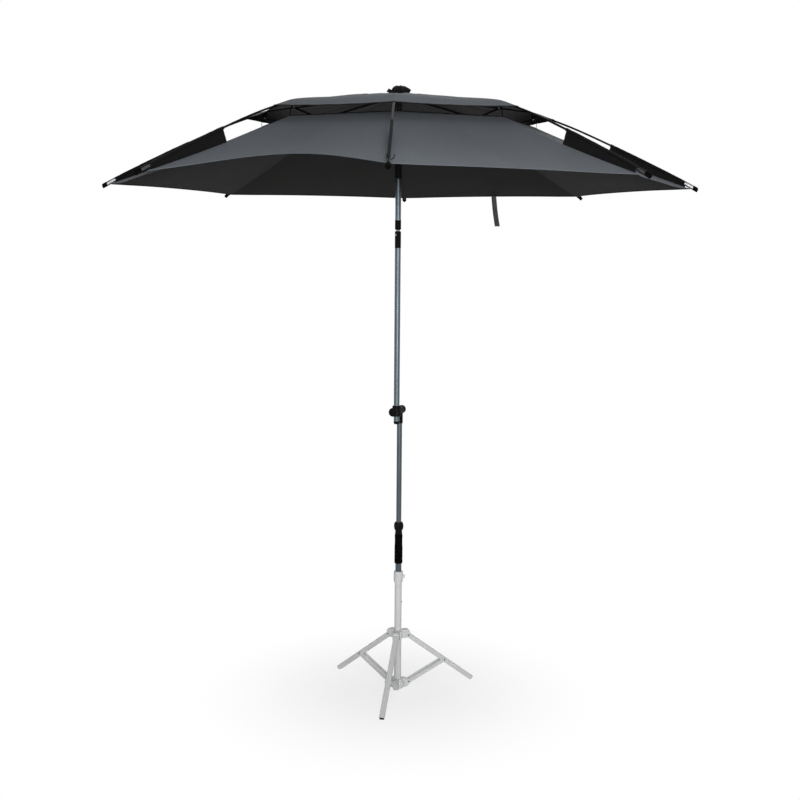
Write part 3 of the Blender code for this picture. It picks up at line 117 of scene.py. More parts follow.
def seen_directly(tree):
    """1 for rays from the camera, off a shiny surface or through glass, and 0 for light."""
    path = add(tree, "ShaderNodeLightPath").outputs
    seen = path["Is Camera Ray"]
    for ray in ("Is Glossy Ray", "Is Transmission Ray"):
        seen = add(tree, "ShaderNodeMath", {0: seen, 1: path[ray]}, operation="MAXIMUM").outputs[0]
    return seen


# %% White room
WORLD_LIGHT = 0.20

world = bpy.data.worlds.new("studio")
bpy.context.scene.world = world
world.use_nodes = True
room = world.node_tree
room.nodes.clear()
lit = add(room, "ShaderNodeBackground", {"Color": (1, 1, 1, 1), "Strength": WORLD_LIGHT})
shown = add(room, "ShaderNodeBackground", {"Color": (1, 1, 1, 1), "Strength": 1.0})
either = add(room, "ShaderNodeMixShader", {0: seen_directly(room), 1: lit.outputs[0], 2: shown.outputs[0]})
add(room, "ShaderNodeOutputWorld", {"Surface": either.outputs[0]})
bpy.context.scene.view_settings.view_transform = "Standard"
print("The room lights at", WORLD_LIGHT, "and shows as 1.0")

# %% Lamps
# Each row has the name, the place, the point that it faces, its side and its power in watts.
LAMPS = (
    ("key_lamp", (0.2, -6.4, 1.9), (0, 0, 1.4), 3.2, 190),
    ("fill_lamp", (3.4, -5.4, 1.8), (0, 0, 1.2), 2.4, 12),
    ("near_lamp", (0.35, -3.0, 3.0), (0.15, -1.0, 2.1), 0.8, 25),
    ("rear_lamp", (1.5, 5.4, 4.4), (0, 0, 1.6), 3.0, 45),
    ("top_lamp", (0, -0.6, 6.5), (0, 0, 0), 4.0, 35),
)

for name, place, target, side, power in LAMPS:
    lamp_data = bpy.data.lights.new(name, "AREA")
    lamp_data.size = side
    lamp_data.energy = power
    lamp = new_object(name, lamp_data)
    lamp.location = place
    lamp.rotation_mode = "QUATERNION"
    lamp.rotation_quaternion = (Vector(target) - Vector(place)).to_track_quat("-Z", "Y")
print("Lamps:", ", ".join(row[0] for row in LAMPS))

# %% [markdown]
# ## The floor
# The umbrella stands on a white studio floor. The floor's own shader takes the shadow, and a share of
# plain white is mixed in for the camera. The share grows away from the middle, like a paper sweep that
# fades into the white room behind it, so no horizon shows.

# %% Lay the floor
FLOOR_RADIUS = 12.0
SHADOW_RADIUS = 0.9
SHADOW_SHARE = 0.26
FLOOR_GREY = 0.86
FLOOR_SINK = 0.0004

floor_finish = bpy.data.materials.new("studio_floor")
floor_finish.use_nodes = True
tree = floor_finish.node_tree
tree.nodes.clear()
matte = add(tree, "ShaderNodeBsdfDiffuse", {"Color": (FLOOR_GREY, FLOOR_GREY, FLOOR_GREY, 1)})
white = add(tree, "ShaderNodeEmission", {"Color": (1, 1, 1, 1), "Strength": 1.0})
away = add(tree, "ShaderNodeVectorMath", {0: true_place(tree)}, operation="LENGTH").outputs["Value"]
sweep = {"Value": away, "From Min": SHADOW_RADIUS, "From Max": 0.0, "To Min": 1.0, "To Max": 1 - SHADOW_SHARE}
whiteness = add(tree, "ShaderNodeMapRange", sweep, interpolation_type="SMOOTHSTEP").outputs["Result"]
share = add(tree, "ShaderNodeMath", {0: seen_directly(tree), 1: whiteness}, operation="MULTIPLY")
mixed = add(tree, "ShaderNodeMixShader", {0: share.outputs[0], 1: matte.outputs[0], 2: white.outputs[0]})
add(tree, "ShaderNodeOutputMaterial", {"Surface": mixed.outputs[0]})

disc = bmesh.new()
bmesh.ops.create_circle(disc, cap_ends=True, segments=96, radius=FLOOR_RADIUS)
floor_mesh = bpy.data.meshes.new("floor")
disc.to_mesh(floor_mesh)
disc.free()
floor = new_object("floor", floor_mesh)
floor.location.z = -FLOOR_SINK
floor_mesh.materials.append(floor_finish)
print("The floor is", 2 * FLOOR_RADIUS, "m across")

# %% [markdown]
# ## Finishes for hard parts
# Real paint and plastic are never one flat colour: dust, handling and the mould leave fine grain.
# Each finish below mixes a darker and a lighter tone with noise, lets the gloss wander between two
# values, and raises a fine grain with a Bump node. Object coordinates keep the grain at true scale,
# and stretching them turns noise into the streaks of drawn tube.

# %% One recipe for painted, moulded and drawn surfaces
GRAIN_STRENGTH = 0.6


def grain(tree, scale, stretch=(1, 1, 1), detail=4.0):
    """Noise at that scale per metre, drawn out along the axes where stretch is small."""
    drawn = add(tree, "ShaderNodeMapping", {"Vector": true_place(tree), "Scale": stretch}).outputs[0]
    return add(tree, "ShaderNodeTexNoise", {"Vector": drawn, "Scale": scale, "Detail": detail}).outputs["Fac"]


def between(tree, value, low, high, start=0.35, end=0.65):
    """A band of a value, by default the middle band of noise, spread from low to high."""
    inputs = {"Value": value, "From Min": start, "From Max": end, "To Min": low, "To Max": high}
    return add(tree, "ShaderNodeMapRange", inputs).outputs["Result"]


def tones(tree, value, dark, light):
    """Two tones mixed by a value from 0 to 1."""
    mix = add(tree, "ShaderNodeMix", data_type="RGBA")
    tree.links.new(value, mix.inputs["Factor"])
    mix.inputs[6].default_value = (*dark, 1)
    mix.inputs[7].default_value = (*light, 1)
    return mix.outputs[2]


def raised(tree, shader, height, strength, distance):
    """Raise the surface by a texture."""
    bump = add(tree, "ShaderNodeBump", {"Height": height, "Strength": strength, "Distance": distance})
    tree.links.new(bump.outputs["Normal"], shader.inputs["Normal"])


def new_finish(name):
    """A material with its node tree and its shader."""
    material = bpy.data.materials.new(name)
    material.use_nodes = True
    return material, material.node_tree, material.node_tree.nodes["Principled BSDF"]


def hard_finish(name, dark, light, gloss, cloud, fine, height, metallic, stretch, shine):
    """A finish with clouds of tone, wandering gloss and raised grain."""
    material, tree, shader = new_finish(name)
    clouds = grain(tree, cloud, stretch)
    speck = grain(tree, fine, stretch, detail=2.0)
    tree.links.new(tones(tree, between(tree, clouds, 0, 1), dark, light), shader.inputs["Base Color"])
    tree.links.new(between(tree, speck, *gloss), shader.inputs["Roughness"])
    raised(tree, shader, speck, GRAIN_STRENGTH, height)
    shader.inputs["Metallic"].default_value = metallic
    shader.inputs["Specular IOR Level"].default_value = shine
    return material


# %% Mix the hard finishes
POLE_STREAK = (60, 60, 1.5)
ROUND = (1, 1, 1)

# Each row has the name, the dark and light tone, the low and high roughness, how many clouds and
# how many grains fit in a metre, the height of the grain, and then metal, streaks and shine.
HARD_FINISHES = (
    ("pole_blue_grey", (0.078, 0.100, 0.112), (0.108, 0.136, 0.151),
     (0.18, 0.25), 6, 40, 0.00001, 1.0, POLE_STREAK, 0.35),
    ("mast_blue_grey", (0.062, 0.077, 0.087), (0.084, 0.105, 0.117),
     (0.26, 0.34), 6, 40, 0.00001, 1.0, POLE_STREAK, 0.30),
    ("bright_steel", (0.30, 0.30, 0.30), (0.46, 0.46, 0.46),
     (0.30, 0.48), 60, 1500, 0.00002, 0.75, ROUND, 0.5),
    # The next row is a dark copy of bright steel, which is painted shade on most of the rib ends.
    ("steel_painted_shade", (0.030, 0.030, 0.030), (0.070, 0.070, 0.070),
     (0.40, 0.60), 60, 1500, 0.00002, 0.60, ROUND, 0.3),
    ("cap_rubber", (0.0015, 0.0015, 0.0016), (0.0040, 0.0040, 0.0042),
     (0.70, 0.85), 60, 2200, 0.00004, 0, ROUND, 0.015),
    ("zinc_rivet", (0.035, 0.035, 0.037), (0.075, 0.075, 0.078),
     (0.35, 0.50), 200, 1500, 0.00002, 0.4, ROUND, 0.4),
    # The ribs' brown-black is painted light: the black rod as it looks in the lamps' highlight.
    ("rib_brown_black", (0.016, 0.0135, 0.0125), (0.034, 0.029, 0.027),
     (0.52, 0.68), 30, 1200, 0.00003, 0, ROUND, 0.16),
    ("frame_black", (0.0025, 0.0025, 0.0028), (0.0055, 0.0055, 0.0060),
     (0.50, 0.66), 40, 1200, 0.00003, 0, ROUND, 0.05),
    ("moulded_black", (0.0025, 0.0025, 0.0028), (0.0060, 0.0060, 0.0064),
     (0.46, 0.62), 60, 2200, 0.00004, 0, ROUND, 0.06),
    ("tripod_paint", (0.66, 0.665, 0.67), (0.70, 0.705, 0.71), (0.38, 0.48), 9, 900, 0.00001, 0, ROUND, 0.35),
    ("grip_foam", (0.0020, 0.0020, 0.0022), (0.0050, 0.0050, 0.0054),
     (0.88, 0.97), 90, 1400, 0.00030, 0, ROUND, 0.015),
    ("plug_rubber", (0.006, 0.006, 0.006), (0.014, 0.014, 0.014),
     (0.65, 0.85), 80, 1500, 0.00006, 0, ROUND, 0.2),
)

finishes = {row[0]: hard_finish(*row) for row in HARD_FINISHES}
print(len(finishes), "hard finishes")

# %% [markdown]
# ## Finishes for cloth
# The canopy is coated polyester, woven so finely that it reads as an even grey with a faint grain.
# Two Wave textures at right angles give the threads, and their product is the height of the weave.
# The tapes and the strap are ribbed instead, so they use a single, coarser wave along their length.

# %% Weave the cloths
WAVE_REPEAT = 0.314
WEAVE_STRENGTH = 0.5
MOTTLES_PER_METRE = 160
CLOTH_SHINE = 0.12


def threads(tree, direction, per_metre):
    """A wave of threads across one axis. A Wave texture repeats every 0.314 of its own unit."""
    inputs = {"Vector": true_place(tree), "Scale": per_metre * WAVE_REPEAT, "Distortion": 0.6, "Detail": 1.0}
    return add(tree, "ShaderNodeTexWave", inputs, wave_type="BANDS", bands_direction=direction).outputs["Fac"]


def painted_light_by_radius(tree, colour, start, end, low, high):
    """The colour scaled by the distance from the pole: painted shade near it and painted light further out."""
    flat = add(tree, "ShaderNodeMapping", {"Vector": true_place(tree), "Scale": (1, 1, 0)}).outputs[0]
    away = add(tree, "ShaderNodeVectorMath", {0: flat}, operation="LENGTH").outputs["Value"]
    factor = between(tree, away, low, high, start, end)
    scaled = add(tree, "ShaderNodeVectorMath", {0: colour, "Scale": factor}, operation="SCALE")
    return scaled.outputs["Vector"]


def cloth_finish(name, dark, light, per_metre, height, directions, cloud, sheen=0, falloff=None):
    """Woven cloth: soft clouds of tone, a fine mottle, threads and, if wanted, a little sheen and painted light
    by radius.
    """
    material, tree, shader = new_finish(name)
    layers = {0: grain(tree, cloud), 1: grain(tree, MOTTLES_PER_METRE, detail=2.0)}
    mottle = add(tree, "ShaderNodeMath", layers, operation="ADD").outputs[0]
    colour = tones(tree, between(tree, mottle, 0, 1, 0.75, 1.25), dark, light)
    # Painted shade and light: the colour darkens towards the pole and brightens towards the hem.
    if falloff:
        colour = painted_light_by_radius(tree, colour, *falloff)
    tree.links.new(colour, shader.inputs["Base Color"])
    weave = threads(tree, directions[0], per_metre)
    if len(directions) > 1:
        cross = threads(tree, directions[1], per_metre)
        weave = add(tree, "ShaderNodeMath", {0: weave, 1: cross}, operation="MULTIPLY").outputs[0]
    tree.links.new(between(tree, weave, 0.90, 0.72, 0, 1), shader.inputs["Roughness"])
    raised(tree, shader, weave, WEAVE_STRENGTH, height)
    shader.inputs["Sheen Weight"].default_value = sheen
    shader.inputs["Sheen Roughness"].default_value = 0.5
    shader.inputs["Specular IOR Level"].default_value = CLOTH_SHINE
    return material


# Each row has the name, the dark and light tone, how many threads fit in a metre, their height and
# directions, how many clouds fit in a metre, and then sheen and the painted shade by radius where there are any.
CANOPY_GREYS = ((0.088, 0.099, 0.112), (0.102, 0.114, 0.128))
PLAIN_WEAVE = (1800, 0.00008, ("X", "Y"), 2.6)
CLOTH_FINISHES = (
    ("canopy_grey", *CANOPY_GREYS, *PLAIN_WEAVE, 0.04),
    # The ring's grey is darker near the pole and lighter at the hem: painted shade under the cap and painted
    # light.
    ("ring_grey", *CANOPY_GREYS, *PLAIN_WEAVE, 0.04, (0.60, 1.05, 0.74, 1.14)),
    ("canopy_black", (0.0082, 0.0078, 0.0076), (0.0120, 0.0117, 0.0114), *PLAIN_WEAVE),
    ("web_black", (0.0035, 0.0035, 0.0037), (0.0065, 0.0065, 0.0068), *PLAIN_WEAVE),
    ("tape_black", (0.003, 0.003, 0.0035), (0.007, 0.007, 0.0075), 900, 0.0002, ("Y",), 2.6),
    ("strap_grey", (0.085, 0.088, 0.090), (0.135, 0.140, 0.145), 600, 0.0004, ("DIAGONAL",), 40, 0.15),
)

finishes.update({row[0]: cloth_finish(*row) for row in CLOTH_FINISHES})
print("Cloth finishes:", ", ".join(row[0] for row in CLOTH_FINISHES))

# %% [markdown]
# ## Paint what the frame already has
# Most metal and plastic parts keep their CAD shape. Each takes the finish that its real piece has,
# by the start of its name.

# %% Finish every CAD node
def by_member(groups):
    """A look-up from each member to the name of its group."""
    return {member: name for name, members in groups.items() for member in members}


NODE_FINISHES = by_member({
    "moulded_black": ["rib_tip"], "rib_brown_black": ["rib"], "frame_black": ["stretcher"],
    "pole_blue_grey": ["canopy_pole", "main_pole"], "mast_blue_grey": ["inner_pole", "outer_tube"],
    "bright_steel": ["tilt_pin", "tilt_button", "pivot_bolt"],
    "grip_foam": ["foam_grip"], "plug_rubber": ["foot"],
    "tripod_paint": ["tripod", "thumb_screw", "upper_hub", "lower_hub", "leg", "strut"],
    "canopy_grey": ["vent_canopy", "main_canopy"], "canopy_black": ["crown_cover"],
    "strap_grey": ["closure_strap"],
})

for name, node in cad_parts.items():
    starts = [key for key in NODE_FINISHES if name.startswith(key)]
    finish = NODE_FINISHES[max(starts, key=len)] if starts else "moulded_black"
    node.data.materials.clear()
    node.data.materials.append(finishes[finish])
print("Finished", len(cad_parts), "nodes")

# %% [markdown]
# ## Helpers for new pieces
# Every new piece is a mesh made of rings or a grid of points. It's skinned with faces, shaded smooth,
# and then rides on the CAD body that carries it, so that it moves with the umbrella.
# Edges sharper than 40 degrees stay crisp.

# %% Skin rings of points into a mesh
def skinned(rings, joined=False):
    """A mesh over rings with as many points each, with flat ends or with the last ring on the first."""
    count = len(rings[0])
    points = [point for ring in rings for point in ring]
    faces = []
    for row in range(len(rings) if joined else len(rings) - 1):
        low, high = row * count, (row + 1) % len(rings) * count
        for step in range(count):
            after = (step + 1) % count
            faces.append((low + step, low + after, high + after, high + step))
    if not joined:
        faces.append(tuple(range(count)))
        faces.append(tuple(range(len(points) - count, len(points))))
    return mesh_of(points, faces)


def mesh_of(points, faces, inner=()):
    """A mesh from points and faces, with the faces numbered in inner in the second material."""
    mesh = bpy.data.meshes.new("piece")
    mesh.from_pydata([tuple(point) for point in points], [], faces)
    for face in inner:
        mesh.polygons[face].material_index = 1
    shell = bmesh.new()
    shell.from_mesh(mesh)
    bmesh.ops.recalc_face_normals(shell, faces=shell.faces)
    shell.to_mesh(mesh)
    shell.free()
    return mesh


# %% Place a finished piece on its body
def dress(name, mesh, body, finish, turn=0.0, place=(0, 0, 0), inner=None, crisp=40):
    """One piece of the umbrella in its finish, turned about Z, riding on a CAD body."""
    made = new_object(name, mesh)
    mesh.materials.append(finishes[finish])
    if inner:
        mesh.materials.append(finishes[inner])
    mesh.shade_smooth()
    mesh.set_sharp_from_angle(angle=math.radians(crisp))
    made.location = place
    made.rotation_euler.z = turn
    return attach(made, body)


def circle(radius, height, steps, flutes=0, depth=0.0):
    """A ring of points, drawn in between its flutes."""
    ring = []
    for step in range(steps):
        angle = math.tau * step / steps
        out = radius - depth * (0.5 - 0.5 * math.cos(angle * flutes)) if flutes else radius
        ring.append(Vector((out * math.cos(angle), out * math.sin(angle), height)))
    return ring


def section(middle, across, up, outline):
    """An outline of (side, rise) points, laid out at a point of a line."""
    return [middle + across * side + up * rise for side, rise in outline]


def moved(rings, matrix):
    """The rings after a move."""
    return [[matrix @ Vector(point) for point in ring] for ring in rings]


def lathed(name, rows, body, finish, place=(0, 0, 0), steps=64, flutes=0):
    """A turned piece from rows of radius and height, and of depth where it's fluted."""
    rings = [circle(row[0], row[1], steps, flutes, *row[2:]) for row in rows]
    return dress(name, skinned(rings, joined=True), body, finish, place=place)


print("Helpers ready")

# %% [markdown]
# ## The line of a rib
# Each rib leaves the crown almost level and bends down towards its tip, because the cloth pulls it.
# A curve object could hold that line, but the cloth, the sleeves and the rods all need its height at
# any radius, so it's a function: a smooth curve through a few measured points.

# %% Height and slope along a rib
RIBS = 8
CANOPY_TURN = math.radians(-1.2)
CANOPY_RADIUS = 1.200
CANOPY_DROP = 0.3505
CROWN_RADIUS = 0.030
CROWN_HEIGHT = 2.4625
BEND_SHARES = (
    (0.083, 0.013), (0.2875, 0.087), (0.4375, 0.1555), (0.50, 0.224),
    (0.571, 0.3124), (0.70, 0.5036), (0.964, 0.934), (1.0, 1.0),
)

line = [(CROWN_RADIUS, CROWN_HEIGHT)]
line += [(CANOPY_RADIUS * out, CROWN_HEIGHT - CANOPY_DROP * down) for out, down in BEND_SHARES]
steps = [(b[1] - a[1]) / (b[0] - a[0]) for a, b in zip(line, line[1:])]
slopes = [steps[0], *(2 * a * b / (a + b) for a, b in zip(steps, steps[1:])), steps[-1]]


def rib_height(radius):
    """The height of a rib's middle line at a radius."""
    index = 0
    while index < len(line) - 2 and radius > line[index + 1][0]:
        index += 1
    (r0, z0), (r1, z1) = line[index], line[index + 1]
    t = (radius - r0) / (r1 - r0)
    ease = t * t * (3 - 2 * t)
    leaving = slopes[index] * t * (1 - t) ** 2
    arriving = slopes[index + 1] * t * t * (t - 1)
    return z0 + (z1 - z0) * ease + (r1 - r0) * (leaving + arriving)


def rib_slope(radius):
    """The slope of a rib's middle line, in radians."""
    reach = 0.001
    return math.atan2(rib_height(radius + reach) - rib_height(radius - reach), 2 * reach)


def rib_turn(index):
    """The angle of a rib about Z."""
    return CANOPY_TURN + math.tau * index / RIBS


def homeward(index):
    """The turn that lays a rib along +X."""
    return Matrix.Rotation(-rib_turn(index), 4, "Z")


def each_rib():
    """The index, number, body and turn of every rib."""
    for index in range(RIBS):
        yield index, index + 1, f"rib_{index + 1}", rib_turn(index)


def along_rib(radius, side, up):
    """A point beside and above the rib's middle line, in the rib's own plane."""
    slope = rib_slope(radius)
    return Vector((radius - up * math.sin(slope), side, rib_height(radius) + up * math.cos(slope)))


print("Rib tip at", round(rib_height(CANOPY_RADIUS), 3), "m, crown at", CROWN_HEIGHT, "m")

# %% [markdown]
# ## Rods of the ribs
# A rib is a slim black rod with a flat eye at the crown; the front rib's rod is a lighter brownish black,
# which is painted light. The CAD rib has only a few bends, so this one is swept along the full curve.
# A Bevel on a curve could do it too, but rings give a rounded rectangle that stays upright all the way.

# %% Sweep the rods
ROD_HALF_WIDTH = 0.004
ROD_HALF_HEIGHT = 0.0035
ROD_START = 0.042
ROD_STOP = 1.131
RIVET_RADIUS = 0.535
RIVET_HEIGHT = rib_height(RIVET_RADIUS) - 0.0235


def soft_box(half_width, half_height, corner, steps=3):
    """A rectangle with round corners as (side, up) points."""
    outline = []
    for quarter in range(4):
        x = (half_width - corner) * (1 if quarter in (0, 3) else -1)
        z = (half_height - corner) * (1 if quarter in (0, 1) else -1)
        for step in range(steps + 1):
            angle = math.pi / 2 * (quarter + step / steps)
            outline.append((x + corner * math.cos(angle), z + corner * math.sin(angle)))
    return outline


def swept(outline, radii, sink=0.0):
    """A bar with that outline along the rib, from one radius to another."""
    return skinned([[along_rib(radius, side, up - sink) for side, up in outline] for radius in radii])


def spread(start, end, count):
    """Evenly spaced numbers, with both ends."""
    return [start + (end - start) * step / (count - 1) for step in range(count)]


FRONT_RIB = 6
rod_outline = soft_box(ROD_HALF_WIDTH, ROD_HALF_HEIGHT, 0.0016)
for index, number, body, turn in each_rib():
    # The front rib's rod takes the lighter brown-black, which is painted light; the other rods are plain black.
    finish = "rib_brown_black" if index == FRONT_RIB else "frame_black"
    rod = dress(f"rib_rod_{number}", swept(rod_outline, spread(ROD_START, ROD_STOP, 70)), body, finish, turn)
    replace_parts(rod, f"rib_{number}")
print("Swept", RIBS, "rods")

# %% [markdown]
# ## Eyes and rivet plates
# At the crown a rib ends in a flat eye on a pin. Half way out, a small steel plate under the rod holds
# the rivet of its stretcher. Both are flat plates with a round end, cut from strip on the real thing.

# %% Cut the plates
PLATE_HALF = 0.0017
EYE_RADIUS, EYE_HALF, EYE_END = 0.0045, 0.0030, 0.046
LUG_RADIUS, LUG_REACH = 0.0050, 0.012


def plate(outline, near=-PLATE_HALF, far=PLATE_HALF):
    """A flat plate along a rib or a leg, between two distances across it."""
    return skinned([[Vector((x, side, z)) for x, z in outline] for side in (near, far)])


def round_end(x, z, radius, start, end, steps=10):
    """Points of an arc in a plate's outline, with angles in degrees."""
    angles = [math.radians(start + (end - start) * step / steps) for step in range(steps + 1)]
    return [(x + radius * math.cos(a), z + radius * math.sin(a)) for a in angles]


eye = round_end(CROWN_RADIUS, CROWN_HEIGHT, EYE_RADIUS, 90, 270)
eye += [(EYE_END, rib_height(EYE_END) + up) for up in (-EYE_HALF, EYE_HALF)]
lug = round_end(RIVET_RADIUS, RIVET_HEIGHT, LUG_RADIUS, 180, 360)
lug += [(out, rib_height(out)) for out in (RIVET_RADIUS + LUG_REACH, RIVET_RADIUS - LUG_REACH)]
for index, number, body, turn in each_rib():
    dress(f"rib_eye_{number}", plate(eye), body, "frame_black", turn)
    dress(f"rivet_plate_{number}", plate(lug), body, "frame_black", turn)
print("Rivets at radius", RIVET_RADIUS)

# %% [markdown]
# ## Rivet heads
# The pins that join the frame catch the light as small bright dots. A rivet's head is a low dome:
# a few shrinking rings, closed at the top.

# %% Set the rivets
def dome(radius, height, steps=16):
    """A low round head that stands on z = 0."""
    rings = [circle(radius, 0, steps)]
    for row in range(1, 5):
        angle = math.pi / 2 * row / 4.4
        rings.append(circle(radius * math.cos(angle), height * math.sin(angle), steps))
    return rings


def rivet_pair(name, body, finish, place, turn, half, radius, height):
    """A head on both sides of a joint whose pin lies across it."""
    for side, word in ((-1, "a"), (1, "b")):
        lay = Matrix.Rotation(-side * math.pi / 2, 4, "X")
        rings = moved(dome(radius, height), Matrix.Translation((0, side * half, 0)) @ lay)
        dress(f"{name}_{word}", skinned(rings), body, finish, turn, place)


for index, number, body, turn in each_rib():
    place = (RIVET_RADIUS * math.cos(turn), RIVET_RADIUS * math.sin(turn), RIVET_HEIGHT)
    name, stretcher = f"stretcher_rivet_{number}", f"stretcher_{number}"
    rivet_pair(name, stretcher, "bright_steel", place, turn, half=0.0044, radius=0.0027, height=0.0010)
print("Set", 2 * RIBS, "rivet heads")

# %% [markdown]
# ## Metal ends of the ribs
# Past the cloth, each rib shows a metal end with the dark rod on top of it and a strap of tape below,
# which ties the hem's corner to the square end cap. The ends of the left and right ribs are bright steel;
# the others are a dark copy of that steel, as painted shade in place of what they reflect.

# %% Fit the metal ends and corner straps
END_START = 1.144
END_STOP = 1.182
BRIGHT_ENDS = (0, 4)
CORNER_TAPE_START = 1.112
END_SINK, SPINE_RISE, TAPE_SINK = 0.0032, 0.0026, 0.0100

end_outline = soft_box(0.005, 0.0045, 0.0012)
spine_outline = soft_box(0.0032, 0.0020, 0.0008)
tape_outline = soft_box(0.0045, 0.0011, 0.0006)
for index, number, body, turn in each_rib():
    radii = spread(END_START, END_STOP, 6)
    # The left and right ends are bright steel; the others take its dark copy, which is painted shade.
    finish = "bright_steel" if index in BRIGHT_ENDS else "steel_painted_shade"
    dress(f"rib_end_{number}", swept(end_outline, radii, END_SINK), body, finish, turn)
    dress(f"rib_spine_{number}", swept(spine_outline, radii, -SPINE_RISE), body, "frame_black", turn)
    radii = spread(CORNER_TAPE_START, END_STOP, 8)
    dress(f"corner_tape_{number}", swept(tape_outline, radii, TAPE_SINK), body, "tape_black", turn)
print("Metal ends from radius", END_START, "to", END_STOP)

# %% [markdown]
# ## End caps
# A square black cap closes each rib's end. It sits with a corner upwards, because the eyelet of the
# hem's corner pulls on that corner. Rounding the square's corners keeps the highlight soft.

# %% Press on the end caps
CAP_HALF = 0.0078
CAP_ROWS = ((0.0, 0.86), (0.0012, 0.97), (0.0030, 1.0), (0.0190, 1.0), (0.0208, 0.96), (0.0218, 0.84))
CAP_CORNER = 0.0022
CAP_SINK = 0.0035
CAP_FROM, CAP_MIDDLE = CANOPY_RADIUS - 0.0222, 1.18

cap_outline = soft_box(CAP_HALF, CAP_HALF, CAP_CORNER)
corner_up = math.radians(45)
cap_lean = rib_slope(CAP_MIDDLE)
for index, number, body, turn in each_rib():
    rings = []
    for along, share in CAP_ROWS:
        ring = []
        for side, up in cap_outline:
            side, up = share * side, share * up
            across = side * math.cos(corner_up) - up * math.sin(corner_up)
            rise = side * math.sin(corner_up) + up * math.cos(corner_up) - CAP_SINK
            radius = CAP_FROM + along * math.cos(cap_lean) - rise * math.sin(cap_lean) * 0.5
            height = rib_height(CAP_FROM) + along * math.sin(cap_lean) + rise * math.cos(cap_lean)
            ring.append(Vector((radius, across, height)))
        rings.append(ring)
    end_cap = dress(f"end_cap_{number}", skinned(rings), body, "cap_rubber", turn)
    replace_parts(end_cap, f"rib_tip_{number}")
print("End caps", round(2 * CAP_HALF * 1000, 1), "mm square")

# %% [markdown]
# ## The shape of the cloth
# The canopy is two sheets: a cap over the top of the ribs and a ring that hangs under them, with an
# open vent between. Cloth pulled tight between two ribs sags a little in the middle and gathers fine
# wrinkles at its corners. A simulation could find that, but a formula keeps both sides of every seam
# on the same points, so the sheet stays continuous where its gores meet.

# %% Points on the cap over the vent
CLOTH = 0.0012
GAP_OVER_ROD = 0.0002
CAP_START = 0.040
CAP_RADII = (0.618, 0.618, 0.618, 0.618, 0.618, 0.622, 0.660, 0.622)
CAP_ARCH = 0.030
CAP_SAG = 0.010
CAP_PUFF = 0.0060
CAP_UNEVEN = 0.0050
CROWN_RIPPLE = 0.0026
RIPPLE_RADIUS, RIPPLE_SPREAD, RIPPLE_LENGTH = 0.16, 0.085, 0.032
EDGE_RIPPLE = 0.0007
HUB_TOP = 2.4750
HUB_REACH = 0.11


def belly(share):
    """0 at both ribs and 1 half way between them."""
    return 4 * share * (1 - share)


def on_chord(index, share, radius):
    """The x and y of a point on the straight line from one rib to the next."""
    start, end = rib_turn(index), rib_turn(index + 1)
    x = radius * (math.cos(start) * (1 - share) + math.cos(end) * share)
    y = radius * (math.sin(start) * (1 - share) + math.sin(end) * share)
    return x, y


def cap_point(index, share, out):
    """A point on top of the cap, from the crown (out = 0) to its edge (out = 1)."""
    edge = CAP_RADII[index % RIBS] * (1 - share) + CAP_RADII[(index + 1) % RIBS] * share
    reach = out * (1 - CAP_ARCH * belly(share))
    radius = CAP_START + (edge - CAP_START) * reach
    x, y = on_chord(index, share, radius)
    height = rib_height(radius) + ROD_HALF_HEIGHT / math.cos(rib_slope(radius)) + GAP_OVER_ROD + CLOTH
    near = max(0.0, 1 - (radius - CAP_START) / HUB_REACH)
    height += (HUB_TOP - rib_height(CAP_START) - ROD_HALF_HEIGHT - GAP_OVER_ROD - CLOTH) * near * near
    height -= CAP_SAG * (radius / edge) ** 2 * belly(share)
    height += CAP_PUFF * belly(share) ** 0.7 * math.sin(math.pi * min(1.0, reach / 0.72))
    angle = math.atan2(y, x)
    pull = noise.noise(Vector((math.cos(angle) * 8.0, math.sin(angle) * 8.0, radius * 2.0)))
    height += CAP_UNEVEN * pull * math.sin(math.pi * min(1.0, reach * 1.1)) * min(1.0, belly(share) * 2.5)
    crown = math.exp(-(((radius - RIPPLE_RADIUS) / RIPPLE_SPREAD) ** 2))
    ripple = math.sin(radius * math.tau / RIPPLE_LENGTH + 4 * math.cos(angle) + math.sin(angle))
    height += CROWN_RIPPLE * (0.5 + 0.5 * ripple) * crown
    near_edge = max(0.0, (out - 0.9) / 0.1)
    height += EDGE_RIPPLE * math.sin(share * math.tau * 5) * near_edge * near_edge * belly(share)
    return Vector((x, y, height))


print("Cap from", [round(v, 3) for v in cap_point(0, 0, 0)], "to", [round(v, 3) for v in cap_point(0, 0, 1)])

# %% Points on the hanging ring
RING_INNER = 0.545
RING_OUTER = 1.135
RING_STANDOFF = 0.052
CORNER_STANDOFFS = (0.030, 0.026, 0.024, 0.028, 0.026, 0.025, 0.019, 0.026)
CORNER_PULLS = (0.032, 0.015, 0.010, 0.015, 0.032, 0.015, 0.004, 0.015)
RING_HOLLOW = 0.12
RING_SAG = 0.008
HEM_ARCH = 0.015
FRONT_HEM_ARCH = 0.26
FRONT_PANEL = 5
PANEL_WIDTH = 0.765  # for each metre of radius
HEM_WIDTH = 0.87
RING_LENGTH = 0.62
PULL_SHARE = 0.22
RING_UNEVEN = 0.0030
FOLD_HEIGHT, FOLD_PEAK, FOLD_FADE = 0.0015, 0.05, 0.07
PUCKER_HEIGHT, PUCKER_FADE, PUCKER_START = 0.0011, 0.075, 0.012

ring_top = rib_height(RING_INNER) - RING_STANDOFF
corner_heights = [rib_height(RING_OUTER) - standoff for standoff in CORNER_STANDOFFS]


def ring_radius(share):
    """The radius of the ring's cloth, from its inner edge to its hem."""
    return RING_INNER + (RING_OUTER - RING_INNER) * share


